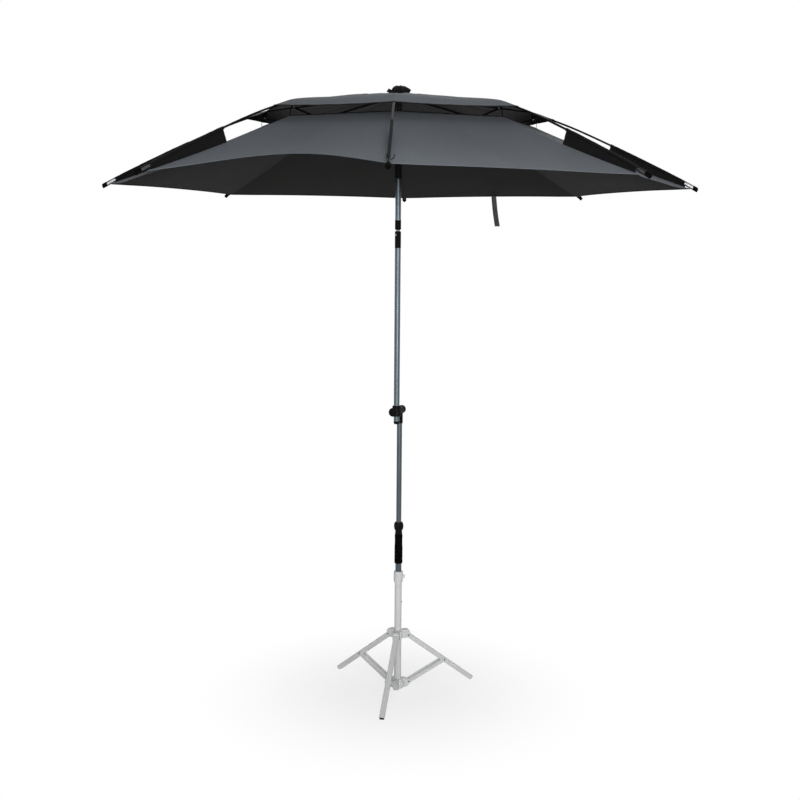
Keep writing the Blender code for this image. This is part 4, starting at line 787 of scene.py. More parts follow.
def corner_pull(index, across):
    """How far a tied corner draws the hem outwards, near the corner only."""
    start, end = CORNER_PULLS[index % RIBS], CORNER_PULLS[(index + 1) % RIBS]
    near_start, near_end = max(0.0, 1 - across / PULL_SHARE), max(0.0, 1 - (1 - across) / PULL_SHARE)
    return start * near_start**2 + end * near_end**2


def ring_height(index, across, share):
    """The ring's height in a panel: it falls towards the hem and hangs a little hollow."""
    start, end = corner_heights[index % RIBS], corner_heights[(index + 1) % RIBS]
    fall = ring_top - (start * (1 - across) + end * across)
    return ring_top - fall * (share + RING_HOLLOW * share * (1 - share))


def corner_folds(share, out):
    """Fine folds that fan out from the two tied corners of a panel."""
    lift = 0.0
    for across in (share, 1 - share):
        beside, inward = across * HEM_WIDTH, (1 - out) * RING_LENGTH
        away = math.hypot(beside, inward)
        angle = math.atan2(beside, inward + 1e-6)
        fan = FOLD_HEIGHT * math.sin(angle * 11)
        lift += fan * (away / FOLD_PEAK) * math.exp(-away / FOLD_FADE) * math.sin(angle) ** 2
    return lift


def seam_puckers(panel, share, out):
    """Short slanting creases on both sides of a seam, where the thread draws the cloth in."""
    lift = 0.0
    for across, side in ((share, 1), (1 - share, -1)):
        beside = across * PANEL_WIDTH * ring_radius(out)
        wave = math.sin((out * RING_LENGTH - beside * 0.75) * 150 + panel * 2.1 + side)
        uneven = 0.5 + 0.5 * noise.noise(Vector((out * 6, panel * 3.7 + side, 0)))
        falloff = math.exp(-beside / PUCKER_FADE) * min(1.0, beside / PUCKER_START)
        lift += PUCKER_HEIGHT * wave * uneven * falloff
    return lift * math.sin(math.pi * min(1.0, out * 1.6 + 0.05))


def ring_point(index, share, out):
    """A point on top of the ring, from its inner edge (out = 0) to its hem (out = 1)."""
    panel = index % RIBS
    arch = FRONT_HEM_ARCH if panel == FRONT_PANEL else HEM_ARCH
    reach = out * (1 - arch * belly(share))
    x, y = on_chord(index, share, ring_radius(reach) + corner_pull(index, share) * reach)
    height = ring_height(index, share, reach) - RING_SAG * belly(share) * math.sin(math.pi * out)
    slack = noise.noise(Vector((x * 3.1, y * 3.1, 0.7 + panel)))
    folds = RING_UNEVEN * slack * math.sin(math.pi * out) + corner_folds(share, out)
    height += folds * min(1.0, belly(share) * 3)
    return Vector((x, y, height + seam_puckers(panel, share, out)))


print("Hem corner at", [round(v, 3) for v in ring_point(0, 0, 1)])

# %% [markdown]
# ## Sew the gores
# The cloth has to fold with the frame, so it's cut into eight gores. Each gore is centred on a rib and
# rides on it, and its two long edges lie in the middle of the panels, where they meet the next gore
# edge to edge. A gore of the ring is two halves, sewn together under the rib, where the closed stretcher
# lies. The cloth is grey above and black below, so the two sides take different materials.

# %% Cut one gore
GORE_SHARES = (0.0, 0.006, 0.02, 0.05, 0.09, 0.14, 0.20, 0.26, 0.32, 0.38, 0.44, 0.5)
GORE_COLUMNS = [-share for share in reversed(GORE_SHARES[1:])] + list(GORE_SHARES)
HALVES = {
    "left": ([-share for share in reversed(GORE_SHARES)], -1),
    "right": (list(GORE_SHARES), 1),
}
BESIDE_STRETCHER = 0.0052
BESIDE_RIVET = 0.0060
GORE_KEEP = 0.07
HALF_KEEP = 0.009
WEB_KEEP = 0.1
TIE_KEEP = 0.07
HALF_LEAN = math.radians(6.5)


def gore_point(rule, index, column, out):
    """A point beside a rib: on its left is the panel before it, on its right its own panel."""
    return rule(index - 1, 1 + column, out) if column < 0 else rule(index, column, out)


def gore_mesh(rule, index, rows, columns):
    """A gore as closed cloth, in a frame with the rib along +X."""
    home = homeward(index)
    wide = len(columns)
    outs = spread(0, 1, rows)
    top = [home @ gore_point(rule, index, column, out) for out in outs for column in columns]
    points = top + [point - Vector((0, 0, CLOTH)) for point in top]
    count = len(top)
    faces = []
    for row in range(len(outs) - 1):
        for column in range(wide - 1):
            a = row * wide + column
            faces.append((a, a + 1, a + wide + 1, a + wide))
    upper = len(faces)
    faces += [tuple(corner + count for corner in reversed(face)) for face in faces]
    rim = [*range(wide), *range(2 * wide - 1, count, wide)]
    rim += [*range(count - 2, count - wide - 1, -1), *range(count - 2 * wide, 0, -wide)]
    for here, there in zip(rim, rim[1:] + rim[:1]):
        faces.append((here, there, there + count, here + count))
    return mesh_of(points, faces, range(upper, len(faces)))


def top_area(mesh):
    """The area of the cloth's grey side."""
    return sum(face.area for face in mesh.polygons if face.material_index == 0)


def sewn(name, rule, index, rows, finish, columns=GORE_COLUMNS, **fold):
    """A gore that rides on its rib."""
    mesh = gore_mesh(rule, index, rows, columns)
    area = top_area(mesh)
    made = dress(name, mesh, f"rib_{index + 1}", finish, rib_turn(index), inner="canopy_black", crisp=60)
    draw_in(made, index, **fold)
    return made, area


def draw_in(made, index, keep=GORE_KEEP, beside=0.0, lean=0.0):
    """Give the piece its own copy of its mesh.

    The lean is not used.
    """
    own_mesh(made)


# %% Tapes along the edges of the cloth
BINDING = {"width": 0.008, "thickness": 0.0030, "finish": "tape_black", "shift": 0.0015}
HEM = {"width": 0.011, "thickness": 0.0028, "finish": "ring_grey", "shift": 0.0002, "inner": "canopy_black"}


def edge_tape(
    name, rule, index, out, width, thickness, finish, shift, inner=None, columns=GORE_COLUMNS, **fold,
):
    """A tape folded over one edge of a gore, if wanted in another colour below and inside."""
    home = homeward(index)
    outline = soft_box(width / 2, thickness / 2, thickness * 0.35, 2)
    rings = []
    for column in columns:
        here = gore_point(rule, index, column, out)
        inside = gore_point(rule, index, column, out - 0.02 if out > 0.5 else out + 0.02)
        inward = (inside - here).normalized()
        up = Vector((0, 0, 1))
        middle = here - up * (CLOTH / 2) + inward * (width / 2 - shift)
        rings.append([home @ point for point in section(middle, inward, up, outline)])
    mesh = skinned(rings)
    for face in mesh.polygons if inner else ():
        face.material_index = int(face.normal.z < 0.1 and face.normal.x < 0.5)
    made = dress(name, mesh, f"rib_{index + 1}", finish, rib_turn(index), inner=inner)
    draw_in(made, index, **fold)
    return made


# %% Sew the cap over the vent
for index, number, body, turn in each_rib():
    gore, area = sewn(f"cap_gore_{number}", cap_point, index, 30, "canopy_grey")
    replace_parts(gore, "vent_canopy")
    sewn_on = [edge_tape(f"cap_binding_{number}", cap_point, index, 1.0, **BINDING)]
print("Cap gore area", round(area, 3), "square metres")

# %% [markdown]
# ## Sleeves, ties and seams of the ring
# The ring hangs from the ribs by black webs. Each web carries a sleeve that the rod slides into, and
# a short tape ties the inner corner up to the rivet. Under the cloth, a tape covers the seam along
# each rib. All of these ride on the rib, like the gore that they're sewn to.

# %% Shapes of web, sleeve, tie and seam
WEB_START = 0.830
WEB_END = 1.127
WEB_SLANT = 0.017
WEB_HALF = 0.0009
WEB_SWAY = 0.0022
WEB_STEPS = 6
IN_ROD = 0.003
SLEEVE_START, SLEEVE_END = WEB_START + WEB_SLANT - 0.003, 1.147
SLEEVE_WIDE, SLEEVE_TALL, SLEEVE_CREASE = 0.0050, 0.0054, 0.0006
SLEEVE_BORE = (0.0042, 0.0037, 0.0018)
TIE_WIDTH, TIE_THICKNESS, TIE_BOW, TIE_STEPS = 0.007, 0.0012, 0.0022, 7
SEAM_TAPE = ((0, -0.0001), (0.4, -0.0001), (1, -0.0001), (1, -0.0009), (0.4, -0.0010), (0, -0.0010))
SEAM_TAPE_HALF = 0.006


def ring_below(index, radius):
    """The height of the ring's cloth on a rib's line, at a radius."""
    span = RING_OUTER - RING_INNER + CORNER_PULLS[index]
    return ring_height(index, 0, min(1.0, (radius - RING_INNER) / span)) - CLOTH / 2


def web_mesh(index):
    """The flat web between the ring and the rod, with a soft ripple."""
    rings = []
    for radius in spread(WEB_START, WEB_END + 0.6 * CORNER_PULLS[index], 26):
        low = ring_below(index, radius)
        high = rib_height(radius) - IN_ROD
        near, far = [], []
        for step in range(WEB_STEPS + 1):
            height = low + (high - low) * step / WEB_STEPS
            free = math.sin(math.pi * step / WEB_STEPS)
            sway = WEB_SWAY * free * noise.noise(Vector((radius * 16, height * 22, index * 3.3)))
            slant = WEB_SLANT * (step / WEB_STEPS) * (WEB_END - radius) / (WEB_END - WEB_START)
            near.append(Vector((radius + slant, sway - WEB_HALF, height)))
            far.append(Vector((radius + slant, sway + WEB_HALF, height)))
        rings.append(near + far[::-1])
    return skinned(rings)


def sleeve_mesh(index):
    """The sleeve round the rod, a little loose, with gathered creases."""
    bore = soft_box(*SLEEVE_BORE, 4)
    outside, inside = [], []
    for radius in spread(SLEEVE_START, SLEEVE_END, 44):
        crease = SLEEVE_CREASE * noise.noise(Vector((radius * 60, index * 2.1, 0)))
        outline = soft_box(SLEEVE_WIDE + crease, SLEEVE_TALL + crease, 0.0030, 4)
        outside.append([along_rib(radius, side, up) for side, up in outline])
        inside.append([along_rib(radius, side, up) for side, up in bore])
    return skinned(outside + inside[::-1], joined=True)


def ribbon(points, across, width, thickness):
    """A flat tape along a line of points, with its width across."""
    rings = []
    across = Vector(across).normalized()
    outline = soft_box(width / 2, thickness / 2, thickness * 0.4, 2)
    for step, point in enumerate(points):
        run = (points[min(step + 1, len(points) - 1)] - points[max(step - 1, 0)]).normalized()
        face = run.cross(across).normalized()
        rings.append(section(point, across, face, outline))
    return skinned(rings)


def tie_mesh():
    """A tape from the ring's inner corner up to the rivet plate, bowed a little outwards."""
    corner = Vector((RING_INNER + 0.004, 0, ring_top + 0.0006))
    rivet = Vector((RIVET_RADIUS + 0.0055, 0, RIVET_HEIGHT + 0.003))
    bowed = []
    for step in range(TIE_STEPS + 1):
        bow = TIE_BOW * math.sin(math.pi * step / TIE_STEPS)
        bowed.append(corner.lerp(rivet, step / TIE_STEPS) + Vector((bow, 0, 0)))
    return ribbon(bowed, (0, 1, 0), TIE_WIDTH, TIE_THICKNESS)


def seam_mesh(index, hand):
    """Half of a narrow tape under the ring, on one side of the rib's line."""
    home = homeward(index)
    rings = []
    for out in spread(0.01, 0.985, 30):
        ring = []
        for side, rise in SEAM_TAPE:
            column = hand * SEAM_TAPE_HALF * side / (PANEL_WIDTH * ring_radius(out))
            point = gore_point(ring_point, index, column, out)
            ring.append(home @ (point + Vector((0, 0, rise - CLOTH))))
        rings.append(ring)
    return skinned(rings)


# %% Sew the hanging ring
for index, number, body, turn in each_rib():
    web = dress(f"web_{number}", web_mesh(index), body, "web_black", turn)
    draw_in(web, index, WEB_KEEP, BESIDE_STRETCHER)
    sleeve = dress(f"sleeve_{number}", sleeve_mesh(index), body, "web_black", turn)
    tie = dress(f"inner_tie_{number}", tie_mesh(), body, "tape_black", turn)
    draw_in(tie, index, TIE_KEEP, BESIDE_RIVET)
    for side, (columns, hand) in HALVES.items():
        fold = {"keep": HALF_KEEP, "beside": hand * BESIDE_STRETCHER, "lean": hand * HALF_LEAN}
        half = {"columns": columns, **fold}
        word = f"{number}_{side}"
        gore, area = sewn(f"ring_gore_{word}", ring_point, index, 40, "ring_grey", **half)
        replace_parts(gore, "main_canopy")
        tape = dress(f"seam_tape_{word}", seam_mesh(index, hand), body, "canopy_black", turn)
        draw_in(tape, index, **fold)
        sewn_on = [
            tape,
            edge_tape(f"ring_binding_{word}", ring_point, index, 0.0, **BINDING, **half),
            edge_tape(f"ring_hem_{word}", ring_point, index, 1.0, **HEM, **half),
        ]
        sewn_on += [web, sleeve, tie] if side == "right" else []
print("Half gore of the ring", round(area, 3), "square metres")

# %% [markdown]
# ## The gathered crown
# A cap of black cloth is drawn together over the crown like a rosette, with one end of its drawstrap
# sticking out. Gathered cloth falls in folds round its tie, so the radius of each ring of points
# swings in and out, by more at the rim, where there's more cloth, than near the middle.

# %% Gather the rosette
ROSETTE_SEAT = 2.4762
ROSETTE_RINGS = (
    (0.0340, 0.0000, 0.4), (0.0375, 0.0030, 0.7), (0.0395, 0.0075, 1.0), (0.0400, 0.0130, 1.0),
    (0.0388, 0.0185, 1.0), (0.0352, 0.0240, 0.9), (0.0300, 0.0290, 0.8), (0.0235, 0.0325, 0.8),
    (0.0160, 0.0340, 0.9), (0.0095, 0.0325, 1.0), (0.0055, 0.0295, 0.6), (0.0015, 0.0285, 0.0),
)
ROSETTE_NARROW = 0.84
ROSETTE_SHIFT = 0.0035
SHOULDER_TURN = math.radians(-14)
SHOULDER_OUT, SHOULDER_BACK = 0.0125, 0.0030
SHOULDER_HEIGHT, SHOULDER_SPREAD = 0.0185, 0.0075
GATHER_DEPTH, GATHER_LIFT = 0.10, 0.0014


def gathered_ring(radius, height, depth, steps=120):
    """One ring of the rosette, with folds, a flatter width and one pointed shoulder."""
    ring = []
    for step in range(steps):
        angle = math.tau * step / steps
        fold = 0.5 * math.sin(angle * 9 + 0.6) + 0.3 * math.sin(angle * 14 + 1.9)
        fold += 0.3 * math.sin(angle * 4 + height * 60)
        out = radius * (1 + GATHER_DEPTH * depth * fold)
        at_shoulder = math.exp(-(((height - SHOULDER_HEIGHT) / SHOULDER_SPREAD) ** 2))
        shoulder = max(0.0, math.cos(angle - SHOULDER_TURN)) ** 12 * at_shoulder
        x = out * math.cos(angle) * ROSETTE_NARROW + ROSETTE_SHIFT + SHOULDER_OUT * shoulder
        y = out * math.sin(angle) - SHOULDER_BACK * shoulder
        lift = GATHER_LIFT * depth * math.sin(angle * 5 + radius * 90)
        ring.append(Vector((x, y, height + lift * min(1.0, height / 0.006))))
    return ring


gathered = skinned([gathered_ring(*row) for row in ROSETTE_RINGS])
rosette = dress("crown_rosette", gathered, "canopy_mast", "web_black", place=(0, 0, ROSETTE_SEAT))
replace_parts(rosette, "crown_cover")
print("Rosette", round(2 * ROSETTE_RINGS[3][0], 3), "m across")

# %% End of the drawstrap
DRAWSTRAP_WIDTH, DRAWSTRAP_THICKNESS = 0.0155, 0.0034
DRAWSTRAP_ROWS = (
    (-0.024, -0.021, 0.0050), (-0.031, -0.022, 0.0082), (-0.038, -0.022, 0.0120), (-0.045, -0.022, 0.0160),
)
drawn_out = [Vector((x, y, ROSETTE_SEAT + up)) for x, y, up in DRAWSTRAP_ROWS]
end_mesh = ribbon(drawn_out, (0.60, -0.18, 0.78), DRAWSTRAP_WIDTH, DRAWSTRAP_THICKNESS)
strap_end = dress("drawstrap_end", end_mesh, "canopy_mast", "tape_black")

# %% [markdown]
# ## The closure strap
# A strap of grey webbing hangs from the rear hem. It goes round the closed umbrella to keep it shut.
# Webbing is stiff enough to hang almost straight, with a slight turn, and its end is folded and sewn.

# %% Hang the strap
STRAP_PANEL = 1
STRAP_SHARE = 0.447
STRAP_WIDTH = 0.025
STRAP_DROP = 0.145
STRAP_ROWS = 30
STRAP_TWIST = math.radians(4)
STRAP_THICKNESS, DOUBLE_THICKNESS = 0.0016, 0.0030
STRAP_FOLD = 0.84
STRAP_KEEP = 0.6

hem = ring_point(STRAP_PANEL, STRAP_SHARE, 0.985)
hem_turn = (rib_turn(STRAP_PANEL) + rib_turn(STRAP_PANEL + 1) + math.pi) / 2


def strap_mesh():
    """The strap below the hem, with a slight twist and a double end."""
    rings = []
    for step in range(STRAP_ROWS + 1):
        share = step / STRAP_ROWS
        twist = STRAP_TWIST * share
        lean = 0.018 * share + 0.003 * share * share
        thick = STRAP_THICKNESS if share < STRAP_FOLD else DOUBLE_THICKNESS
        across = Vector((math.cos(twist), math.sin(twist), 0))
        face = Vector((-math.sin(twist), math.cos(twist), 0))
        middle = Vector((-lean, 0.004 * math.sin(share * 3.0), -STRAP_DROP * share))
        rings.append(section(middle, across, face, soft_box(STRAP_WIDTH / 2, thick / 2, 0.0007, 2)))
    return skinned(rings)


below_hem = (hem.x, hem.y, hem.z - CLOTH - 0.0004)
strap = dress("hem_strap", strap_mesh(), "rib_2", "strap_grey", hem_turn, below_hem, crisp=50)
draw_in(strap, STRAP_PANEL, STRAP_KEEP)
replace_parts(strap, "closure_strap")
print("Strap hangs to z =", round(hem.z - STRAP_DROP, 3))

# %% [markdown]
# ## Ring and hook on the front rib
# The front rib carries a small ring for a guy line, with a hook beside it. A ring of wire is a tube
# along a circle: rings of points round a line that closes on itself.

# %% Hang the ring and the hook
def wire(points, radius, steps=10, closed=False):
    """Round wire along a line of points."""
    rings = []
    count = len(points)
    angles = [math.tau * k / steps for k in range(steps)]
    for step, point in enumerate(points):
        after = points[(step + 1) % count] if closed else points[min(step + 1, count - 1)]
        before = points[step - 1] if closed or step else points[0]
        run = (after - before).normalized()
        side = run.cross(Vector((0.1, 1, 0.05))).normalized()
        up = run.cross(side)
        rings.append([point + (side * math.cos(a) + up * math.sin(a)) * radius for a in angles])
    return skinned(rings, joined=closed)


GUY_RADIUS, GUY_SIDE, GUY_DROP = 1.1215, -0.0062, 0.0045
GUY_LOOP, LOOP_STEPS = 0.0075, 28
HOOK_RADIUS = 1.15
HOOK_ROWS = (
    (1.1500, 0.004, -0.002), (1.1490, 0.010, -0.001), (1.1480, 0.016, 0.003),
    (1.1475, 0.018, 0.009), (1.1470, 0.0165, 0.014),
)

guy_height = rib_height(GUY_RADIUS) - GUY_DROP
turns = [math.tau * k / LOOP_STEPS for k in range(LOOP_STEPS)]
loop = [
    Vector((GUY_RADIUS + GUY_LOOP * math.cos(a), GUY_SIDE, guy_height + GUY_LOOP * math.sin(a))) for a in turns
]
hook = [Vector((out, side, rib_height(HOOK_RADIUS) + up)) for out, side, up in HOOK_ROWS]
front_body = f"rib_{FRONT_RIB + 1}"
dress("guy_ring", wire(loop, radius=0.0014, closed=True), front_body, "frame_black", rib_turn(FRONT_RIB))
dress("guy_hook", wire(hook, radius=0.0015), front_body, "frame_black", rib_turn(FRONT_RIB))
print("Guy ring on rib", FRONT_RIB + 1)

# %% [markdown]
# ## Knobs of the clamp
# A hand knob is turned by its scalloped rim, and its face is dished with a thin raised ring inside.
# It could be cut with booleans, but a stack of fluted rings gives rounder scallops with fewer faces.

# %% Turn the knobs
CLAMP_TURN = math.radians(70)
CLAMP_HEIGHT = 1.206


def knob_rings(radius, flutes=20):
    """A knob along +Z from its seat at z = 0."""
    rows = (
        (0.0100, 0.0000, 0), (0.0104, 0.0006, 0), (0.0104, 0.0036, 0), (radius - 0.0035, 0.0042, 0),
        (radius - 0.0010, 0.0052, 0.0007), (radius, 0.0068, 0.0011), (radius, 0.0150, 0.0011),
        (radius - 0.0006, 0.0165, 0.0009), (radius - 0.0020, 0.0176, 0.0004), (radius - 0.0040, 0.0180, 0),
        (radius * 0.70, 0.0179, 0), (radius * 0.67, 0.0172, 0), (radius * 0.655, 0.0158, 0),
        (radius * 0.58, 0.0155, 0), (radius * 0.555, 0.0158, 0), (radius * 0.54, 0.0166, 0),
        (radius * 0.50, 0.0167, 0), (radius * 0.48, 0.0160, 0), (radius * 0.20, 0.0156, 0),
    )
    return [circle(out, height, 120, flutes, depth) for out, height, depth in rows]


def clamp_knob(name, node, radius, seat, side):
    """A knob on one side of the clamp, seated at a distance from the pole's axis."""
    lay = Matrix.Rotation(side * math.pi / 2, 4, "Y")
    rings = moved(knob_rings(radius), Matrix.Translation((side * seat, 0, 0)) @ lay)
    made = dress(name, skinned(rings), node, "moulded_black", CLAMP_TURN, (0, 0, CLAMP_HEIGHT))
    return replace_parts(made, node)


clamp_knob("clamping_knob", "front_knob", radius=0.0185, seat=0.0303, side=-1)
clamp_knob("swivel_knob", "rear_knob", radius=0.0175, seat=0.0504, side=1)

# %% Screw shank behind the front knob
SHANK_RADIUS, SHANK_ENDS = 0.004, (0.0123, 0.0310)
shank = [circle(SHANK_RADIUS, height, 16) for height in SHANK_ENDS]
shank = moved(shank, Matrix.Rotation(-math.pi / 2, 4, "Y"))
dress("clamping_screw", skinned(shank), "front_knob", "bright_steel", CLAMP_TURN, (0, 0, CLAMP_HEIGHT))
print("Knobs turned")

# %% [markdown]
# ## Twist lock and grip
# The lower mast is locked by a barrel-shaped collar with fine vertical ribs, over a foam grip that
# narrows where the hand holds it. Both are turned profiles. The foam gets soft rounded ends and an
# open grain, which is what tells it apart from the hard collar.

# %% Turn the collar and the grip
MAST_AWAY = 0.036
MAST = Vector((MAST_AWAY * math.cos(CLAMP_TURN), MAST_AWAY * math.sin(CLAMP_TURN), 0))

COLLAR_ROWS = (
    (0.0133, 0.6949, 0), (0.0156, 0.6949, 0), (0.0166, 0.6958, 0), (0.0182, 0.7005, 0.0005),
    (0.0194, 0.7055, 0.0007), (0.0199, 0.7095, 0.0008), (0.0200, 0.7130, 0.0008), (0.0198, 0.7170, 0.0008),
    (0.0190, 0.7220, 0.0007), (0.0178, 0.7262, 0.0004), (0.0164, 0.7286, 0), (0.0150, 0.7292, 0),
    (0.0118, 0.7292, 0), (0.0112, 0.7288, 0), (0.0112, 0.7170, 0), (0.0133, 0.7163, 0),
)
collar = lathed("twist_barrel", COLLAR_ROWS, "twist", "moulded_black", MAST, steps=120, flutes=30)
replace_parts(collar, "twist_collar")

GRIP_ROWS = (
    (0.0134, 0.5517), (0.0150, 0.5516), (0.0162, 0.5522), (0.0169, 0.5540), (0.0171, 0.5580),
    (0.0171, 0.5700), (0.0170, 0.5950), (0.0171, 0.6100), (0.0169, 0.6220), (0.0164, 0.6330),
    (0.0160, 0.6420), (0.0159, 0.6480), (0.0161, 0.6560), (0.0165, 0.6640), (0.0166, 0.6700),
    (0.0164, 0.6740), (0.0156, 0.6765), (0.0146, 0.6774), (0.0134, 0.6773),
)
grip = lathed("hand_grip", GRIP_ROWS, "lower_mast", "grip_foam", MAST)
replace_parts(grip, "foam_grip")
print("Grip", round(GRIP_ROWS[-1][1] - GRIP_ROWS[0][1], 3), "m long")

# %% Neck between the collar and the grip
NECK_ROWS = (
    (0.0133, 0.6776), (0.0149, 0.6776), (0.0152, 0.6782), (0.0152, 0.6812), (0.0146, 0.6818),
    (0.0146, 0.6838), (0.0151, 0.6844), (0.0151, 0.6858), (0.0144, 0.6866), (0.0144, 0.6938),
    (0.0141, 0.6944), (0.0133, 0.6944),
)
lathed("neck_sleeve", NECK_ROWS, "lower_mast", "moulded_black", MAST)
print("Neck sleeve", round(NECK_ROWS[-1][1] - NECK_ROWS[0][1], 4), "m tall")

# %% Flared foot of the runner
RUNNER_ROWS = (
    (0.0130, 2.1606), (0.01365, 2.1612), (0.01375, 2.2090), (0.0141, 2.2095), (0.0142, 2.1990),
    (0.0145, 2.1850), (0.0149, 2.1700), (0.0154, 2.1580), (0.0158, 2.1510), (0.0157, 2.1488),
    (0.0150, 2.1480), (0.0130, 2.1484),
)
lathed("runner_foot", RUNNER_ROWS, "runner", "moulded_black")

# %% [markdown]
# ## Tilt joint trim
# A thin bright ring closes the joint's ferrule, and the pin that the canopy tilts on shows its two
# heads. These are tiny, but they show as bright spots on a black joint.

# %% Fit the ring and the pin heads
TILT_PIN = (0, 0, 1.9426)
RING_ROWS = (
    (0.0118, 1.9838), (0.0127, 1.9838), (0.0129, 1.9843),
    (0.0129, 1.9853), (0.0127, 1.9858), (0.0118, 1.9858),
)
lathed("ferrule_ring", RING_ROWS, "canopy_mast", "bright_steel", steps=48)
rivet_pair("tilt_pin_head", "main_mast", "bright_steel", TILT_PIN, 0.0, half=0.0087, radius=0.0032, height=0.0011)
print("Tilt joint trimmed")

# %% [markdown]
# ## Ends and rivets of the tripod
# The legs are square tubes, closed by black plugs that sit just inside the tube, so only their end
# faces show. The rivets that join legs, struts and hubs are dark zinc, against the pale paint.

# %% Leg ends
LEG_TURN = math.radians(19.75)
LEG_PIVOT = (0.044, 0.234)
FOOT = (0.336, 0.010)
TUBE_HALF, PLUG_HALF = 0.010, 0.0086
FLOOR_CUT = 0.0001

leg_run, leg_fall = FOOT[0] - LEG_PIVOT[0], LEG_PIVOT[1] - FOOT[1]
leg_length, leg_slope = math.hypot(leg_run, leg_fall), math.atan2(leg_fall, leg_run)


def each_leg():
    """The number and turn of every leg."""
    for index in range(3):
        yield index + 1, LEG_TURN + math.tau * index / 3


def leg_end(outline, start, end):
    """A square piece along a leg, cut flat where the leg stands on the floor."""
    box = bmesh.new()
    rows = [[box.verts.new((x, side, up)) for side, up in outline] for x in (start, end)]
    count = len(outline)
    for step in range(count):
        after = (step + 1) % count
        box.faces.new((rows[0][step], rows[0][after], rows[1][after], rows[1][step]))
    for row in rows:
        box.faces.new(row)
    box.transform(Matrix.Translation((LEG_PIVOT[0], 0, LEG_PIVOT[1])) @ Matrix.Rotation(leg_slope, 4, "Y"))
    geometry = [*box.verts, *box.edges, *box.faces]
    bmesh.ops.bisect_plane(box, geom=geometry, plane_co=(0, 0, FLOOR_CUT), plane_no=(0, 0, 1), clear_inner=True)
    bmesh.ops.holes_fill(box, edges=[edge for edge in box.edges if edge.is_boundary])
    bmesh.ops.recalc_face_normals(box, faces=box.faces)
    mesh = bpy.data.meshes.new("leg_end")
    box.to_mesh(mesh)
    box.free()
    return mesh


for number, turn in each_leg():
    tube_mesh = leg_end(soft_box(TUBE_HALF, TUBE_HALF, 0.002), leg_length - 0.001, leg_length + 0.0085)
    dress(f"leg_end_{number}", tube_mesh, f"leg_{number}", "tripod_paint", turn, MAST, crisp=30)
    plug_mesh = leg_end(soft_box(PLUG_HALF, PLUG_HALF, 0.001), leg_length + 0.004, leg_length + 0.0092)
    plug = dress(f"leg_plug_{number}", plug_mesh, f"leg_{number}", "plug_rubber", turn, MAST, crisp=30)
    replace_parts(plug, f"foot_{number}")
print("Legs end at a radius of", FOOT[0])

# %% [markdown]
# ## Hubs of the tripod
# The upper hub is a short sleeve with a roofed fork for each leg, moulded in one piece. Each fork is
# two rounded cheeks and a strip that closes its top and front, so it's built from those three.

# %% Mould the upper hub
TUBE_RADIUS, RIM_RADIUS, HUB_RADIUS = 0.0153, 0.0206, 0.0214
HUB_LOW, HUB_HIGH = LEG_PIVOT[1] - 0.0105, LEG_PIVOT[1] + 0.0245
SLEEVE_HIGH = HUB_HIGH - 0.0040
CHEEK_INNER, CHEEK_OUTER, CHEEK_CORNER = 0.0103, 0.0128, 0.005
FORK_START, FORK_END, FORK_CORNER = 0.012, LEG_PIVOT[0] + 0.0075, 0.011
ROOF_THICKNESS, ROOF_LOW = 0.002, LEG_PIVOT[1] + 0.0138


def fork_outline(drop=0.0):
    """The outer line of a fork from its roof to its front, with a round corner."""
    arc = (FORK_END - FORK_CORNER, HUB_HIGH - FORK_CORNER, FORK_CORNER - drop, 90, 0, 8)
    return [(FORK_START, HUB_HIGH - drop), (FORK_END - FORK_CORNER, HUB_HIGH - drop), *round_end(*arc)[1:]]


def joined_mesh(meshes):
    """Several shells in one mesh."""
    whole = bmesh.new()
    for mesh in meshes:
        whole.from_mesh(mesh)
    made = bpy.data.meshes.new("hub")
    whole.to_mesh(made)
    whole.free()
    return made


cheek = [*fork_outline(), (FORK_END, HUB_LOW + CHEEK_CORNER)]
cheek += round_end(FORK_END - CHEEK_CORNER, HUB_LOW + CHEEK_CORNER, CHEEK_CORNER, 0, -90, 5)[1:]
cheek += [(FORK_START, HUB_LOW)]
roof = [*fork_outline(), (FORK_END, ROOF_LOW), (FORK_END - ROOF_THICKNESS, ROOF_LOW)]
roof += fork_outline(ROOF_THICKNESS)[::-1]
sleeve_rows = (
    (TUBE_RADIUS, HUB_LOW), (RIM_RADIUS, HUB_LOW), (HUB_RADIUS, HUB_LOW + 0.0010),
    (HUB_RADIUS, SLEEVE_HIGH - 0.0012), (RIM_RADIUS, SLEEVE_HIGH), (TUBE_RADIUS, SLEEVE_HIGH),
)
shells = [skinned([circle(r, z, 64) for r, z in sleeve_rows], joined=True)]
for _, turn in each_leg():
    fork = (
        plate(cheek, -CHEEK_OUTER, -CHEEK_INNER), plate(cheek, CHEEK_INNER, CHEEK_OUTER),
        plate(roof, -CHEEK_INNER, CHEEK_INNER),
    )
    for shell in fork:
        shell.transform(Matrix.Rotation(turn, 4, "Z"))
        shells.append(shell)
hub = dress("tripod_hub", joined_mesh(shells), "leg_hub", "tripod_paint", place=MAST, crisp=35)
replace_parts(hub, "upper_hub")
print("Hub", round(HUB_HIGH - HUB_LOW, 3), "m tall")

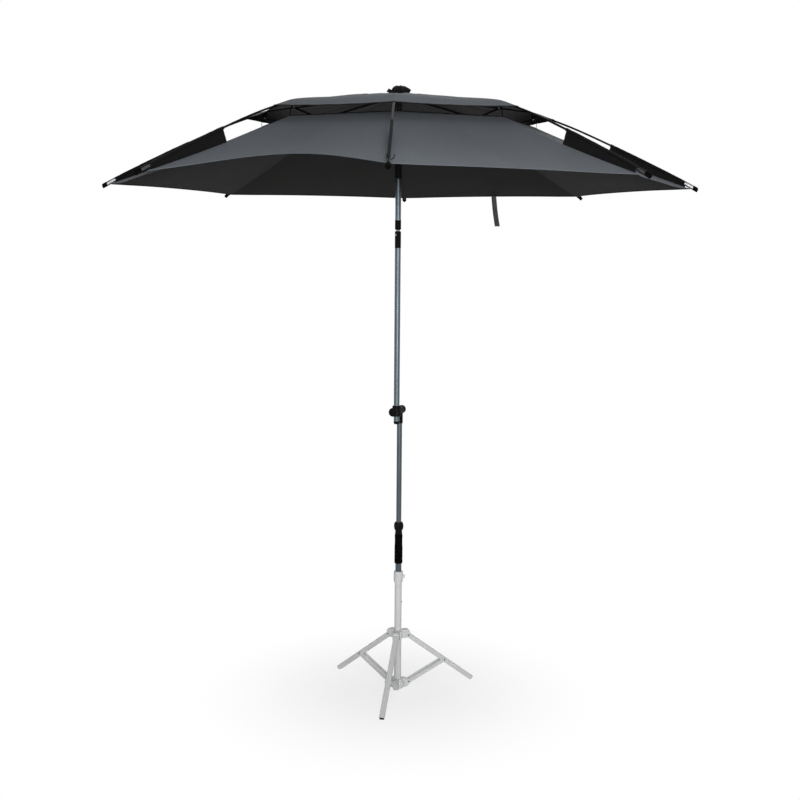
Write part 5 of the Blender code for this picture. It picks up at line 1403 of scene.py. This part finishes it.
# %% Round the lower hub
BOWL_ROWS = (
    (0.0232, 0.0345), (0.0262, 0.0345), (0.0290, 0.0310), (0.0306, 0.0250), (0.0305, 0.0180),
    (0.0288, 0.0110), (0.0258, 0.0060), (0.0232, 0.0042),
)
lathed("hub_bowl", BOWL_ROWS, "base", "tripod_paint", MAST)

# %% Button in the tripod's tube
BUTTON_TURN, BUTTON_SEAT = math.radians(-20), 0.0149
BUTTON_PLACE = MAST + Vector((0, 0, 0.384))
pressed_in = Matrix.Translation((BUTTON_SEAT, 0, 0)) @ Matrix.Rotation(math.pi / 2, 4, "Y")
button = moved(dome(0.0034, 0.0026), pressed_in)
dress("tube_button", skinned(button), "base", "zinc_rivet", BUTTON_TURN, BUTTON_PLACE)

# %% Tripod rivets
STRUT_PIVOT = (0.047, 0.028)
STRUT_SHARE = 0.572
middle_rivet = (LEG_PIVOT[0] + leg_run * STRUT_SHARE, LEG_PIVOT[1] - leg_fall * STRUT_SHARE)
TRIPOD_RIVETS = (
    ("hub_rivet", "leg_hub", LEG_PIVOT), ("strut_rivet", "strut_{}", middle_rivet),
    ("foot_hub_rivet", "strut_{}", STRUT_PIVOT),
)
for word, carrier, (radius, height) in TRIPOD_RIVETS:
    for number, turn in each_leg():
        place = MAST + Vector((radius * math.cos(turn), radius * math.sin(turn), height))
        name, body = f"{word}_{number}", carrier.format(number)
        rivet_pair(name, body, "zinc_rivet", place, turn, half=0.0140, radius=0.0034, height=0.0014)
print("Set", 6 * len(TRIPOD_RIVETS), "tripod rivet heads")

# %% Pin on the lower hub
PEG_TURN, PEG_AWAY, PEG_HEIGHT = math.radians(-50), 0.026, 0.040
PEG_ROWS = ((0.0016, 0), (0.0016, 0.008), (0.0024, 0.0082), (0.0024, 0.0100), (0.0012, 0.0112))
peg_place = MAST + Vector((PEG_AWAY * math.cos(PEG_TURN), PEG_AWAY * math.sin(PEG_TURN), PEG_HEIGHT))
dress("hub_peg", skinned([circle(r, z, 16) for r, z in PEG_ROWS]), "base", "tripod_paint", place=peg_place)
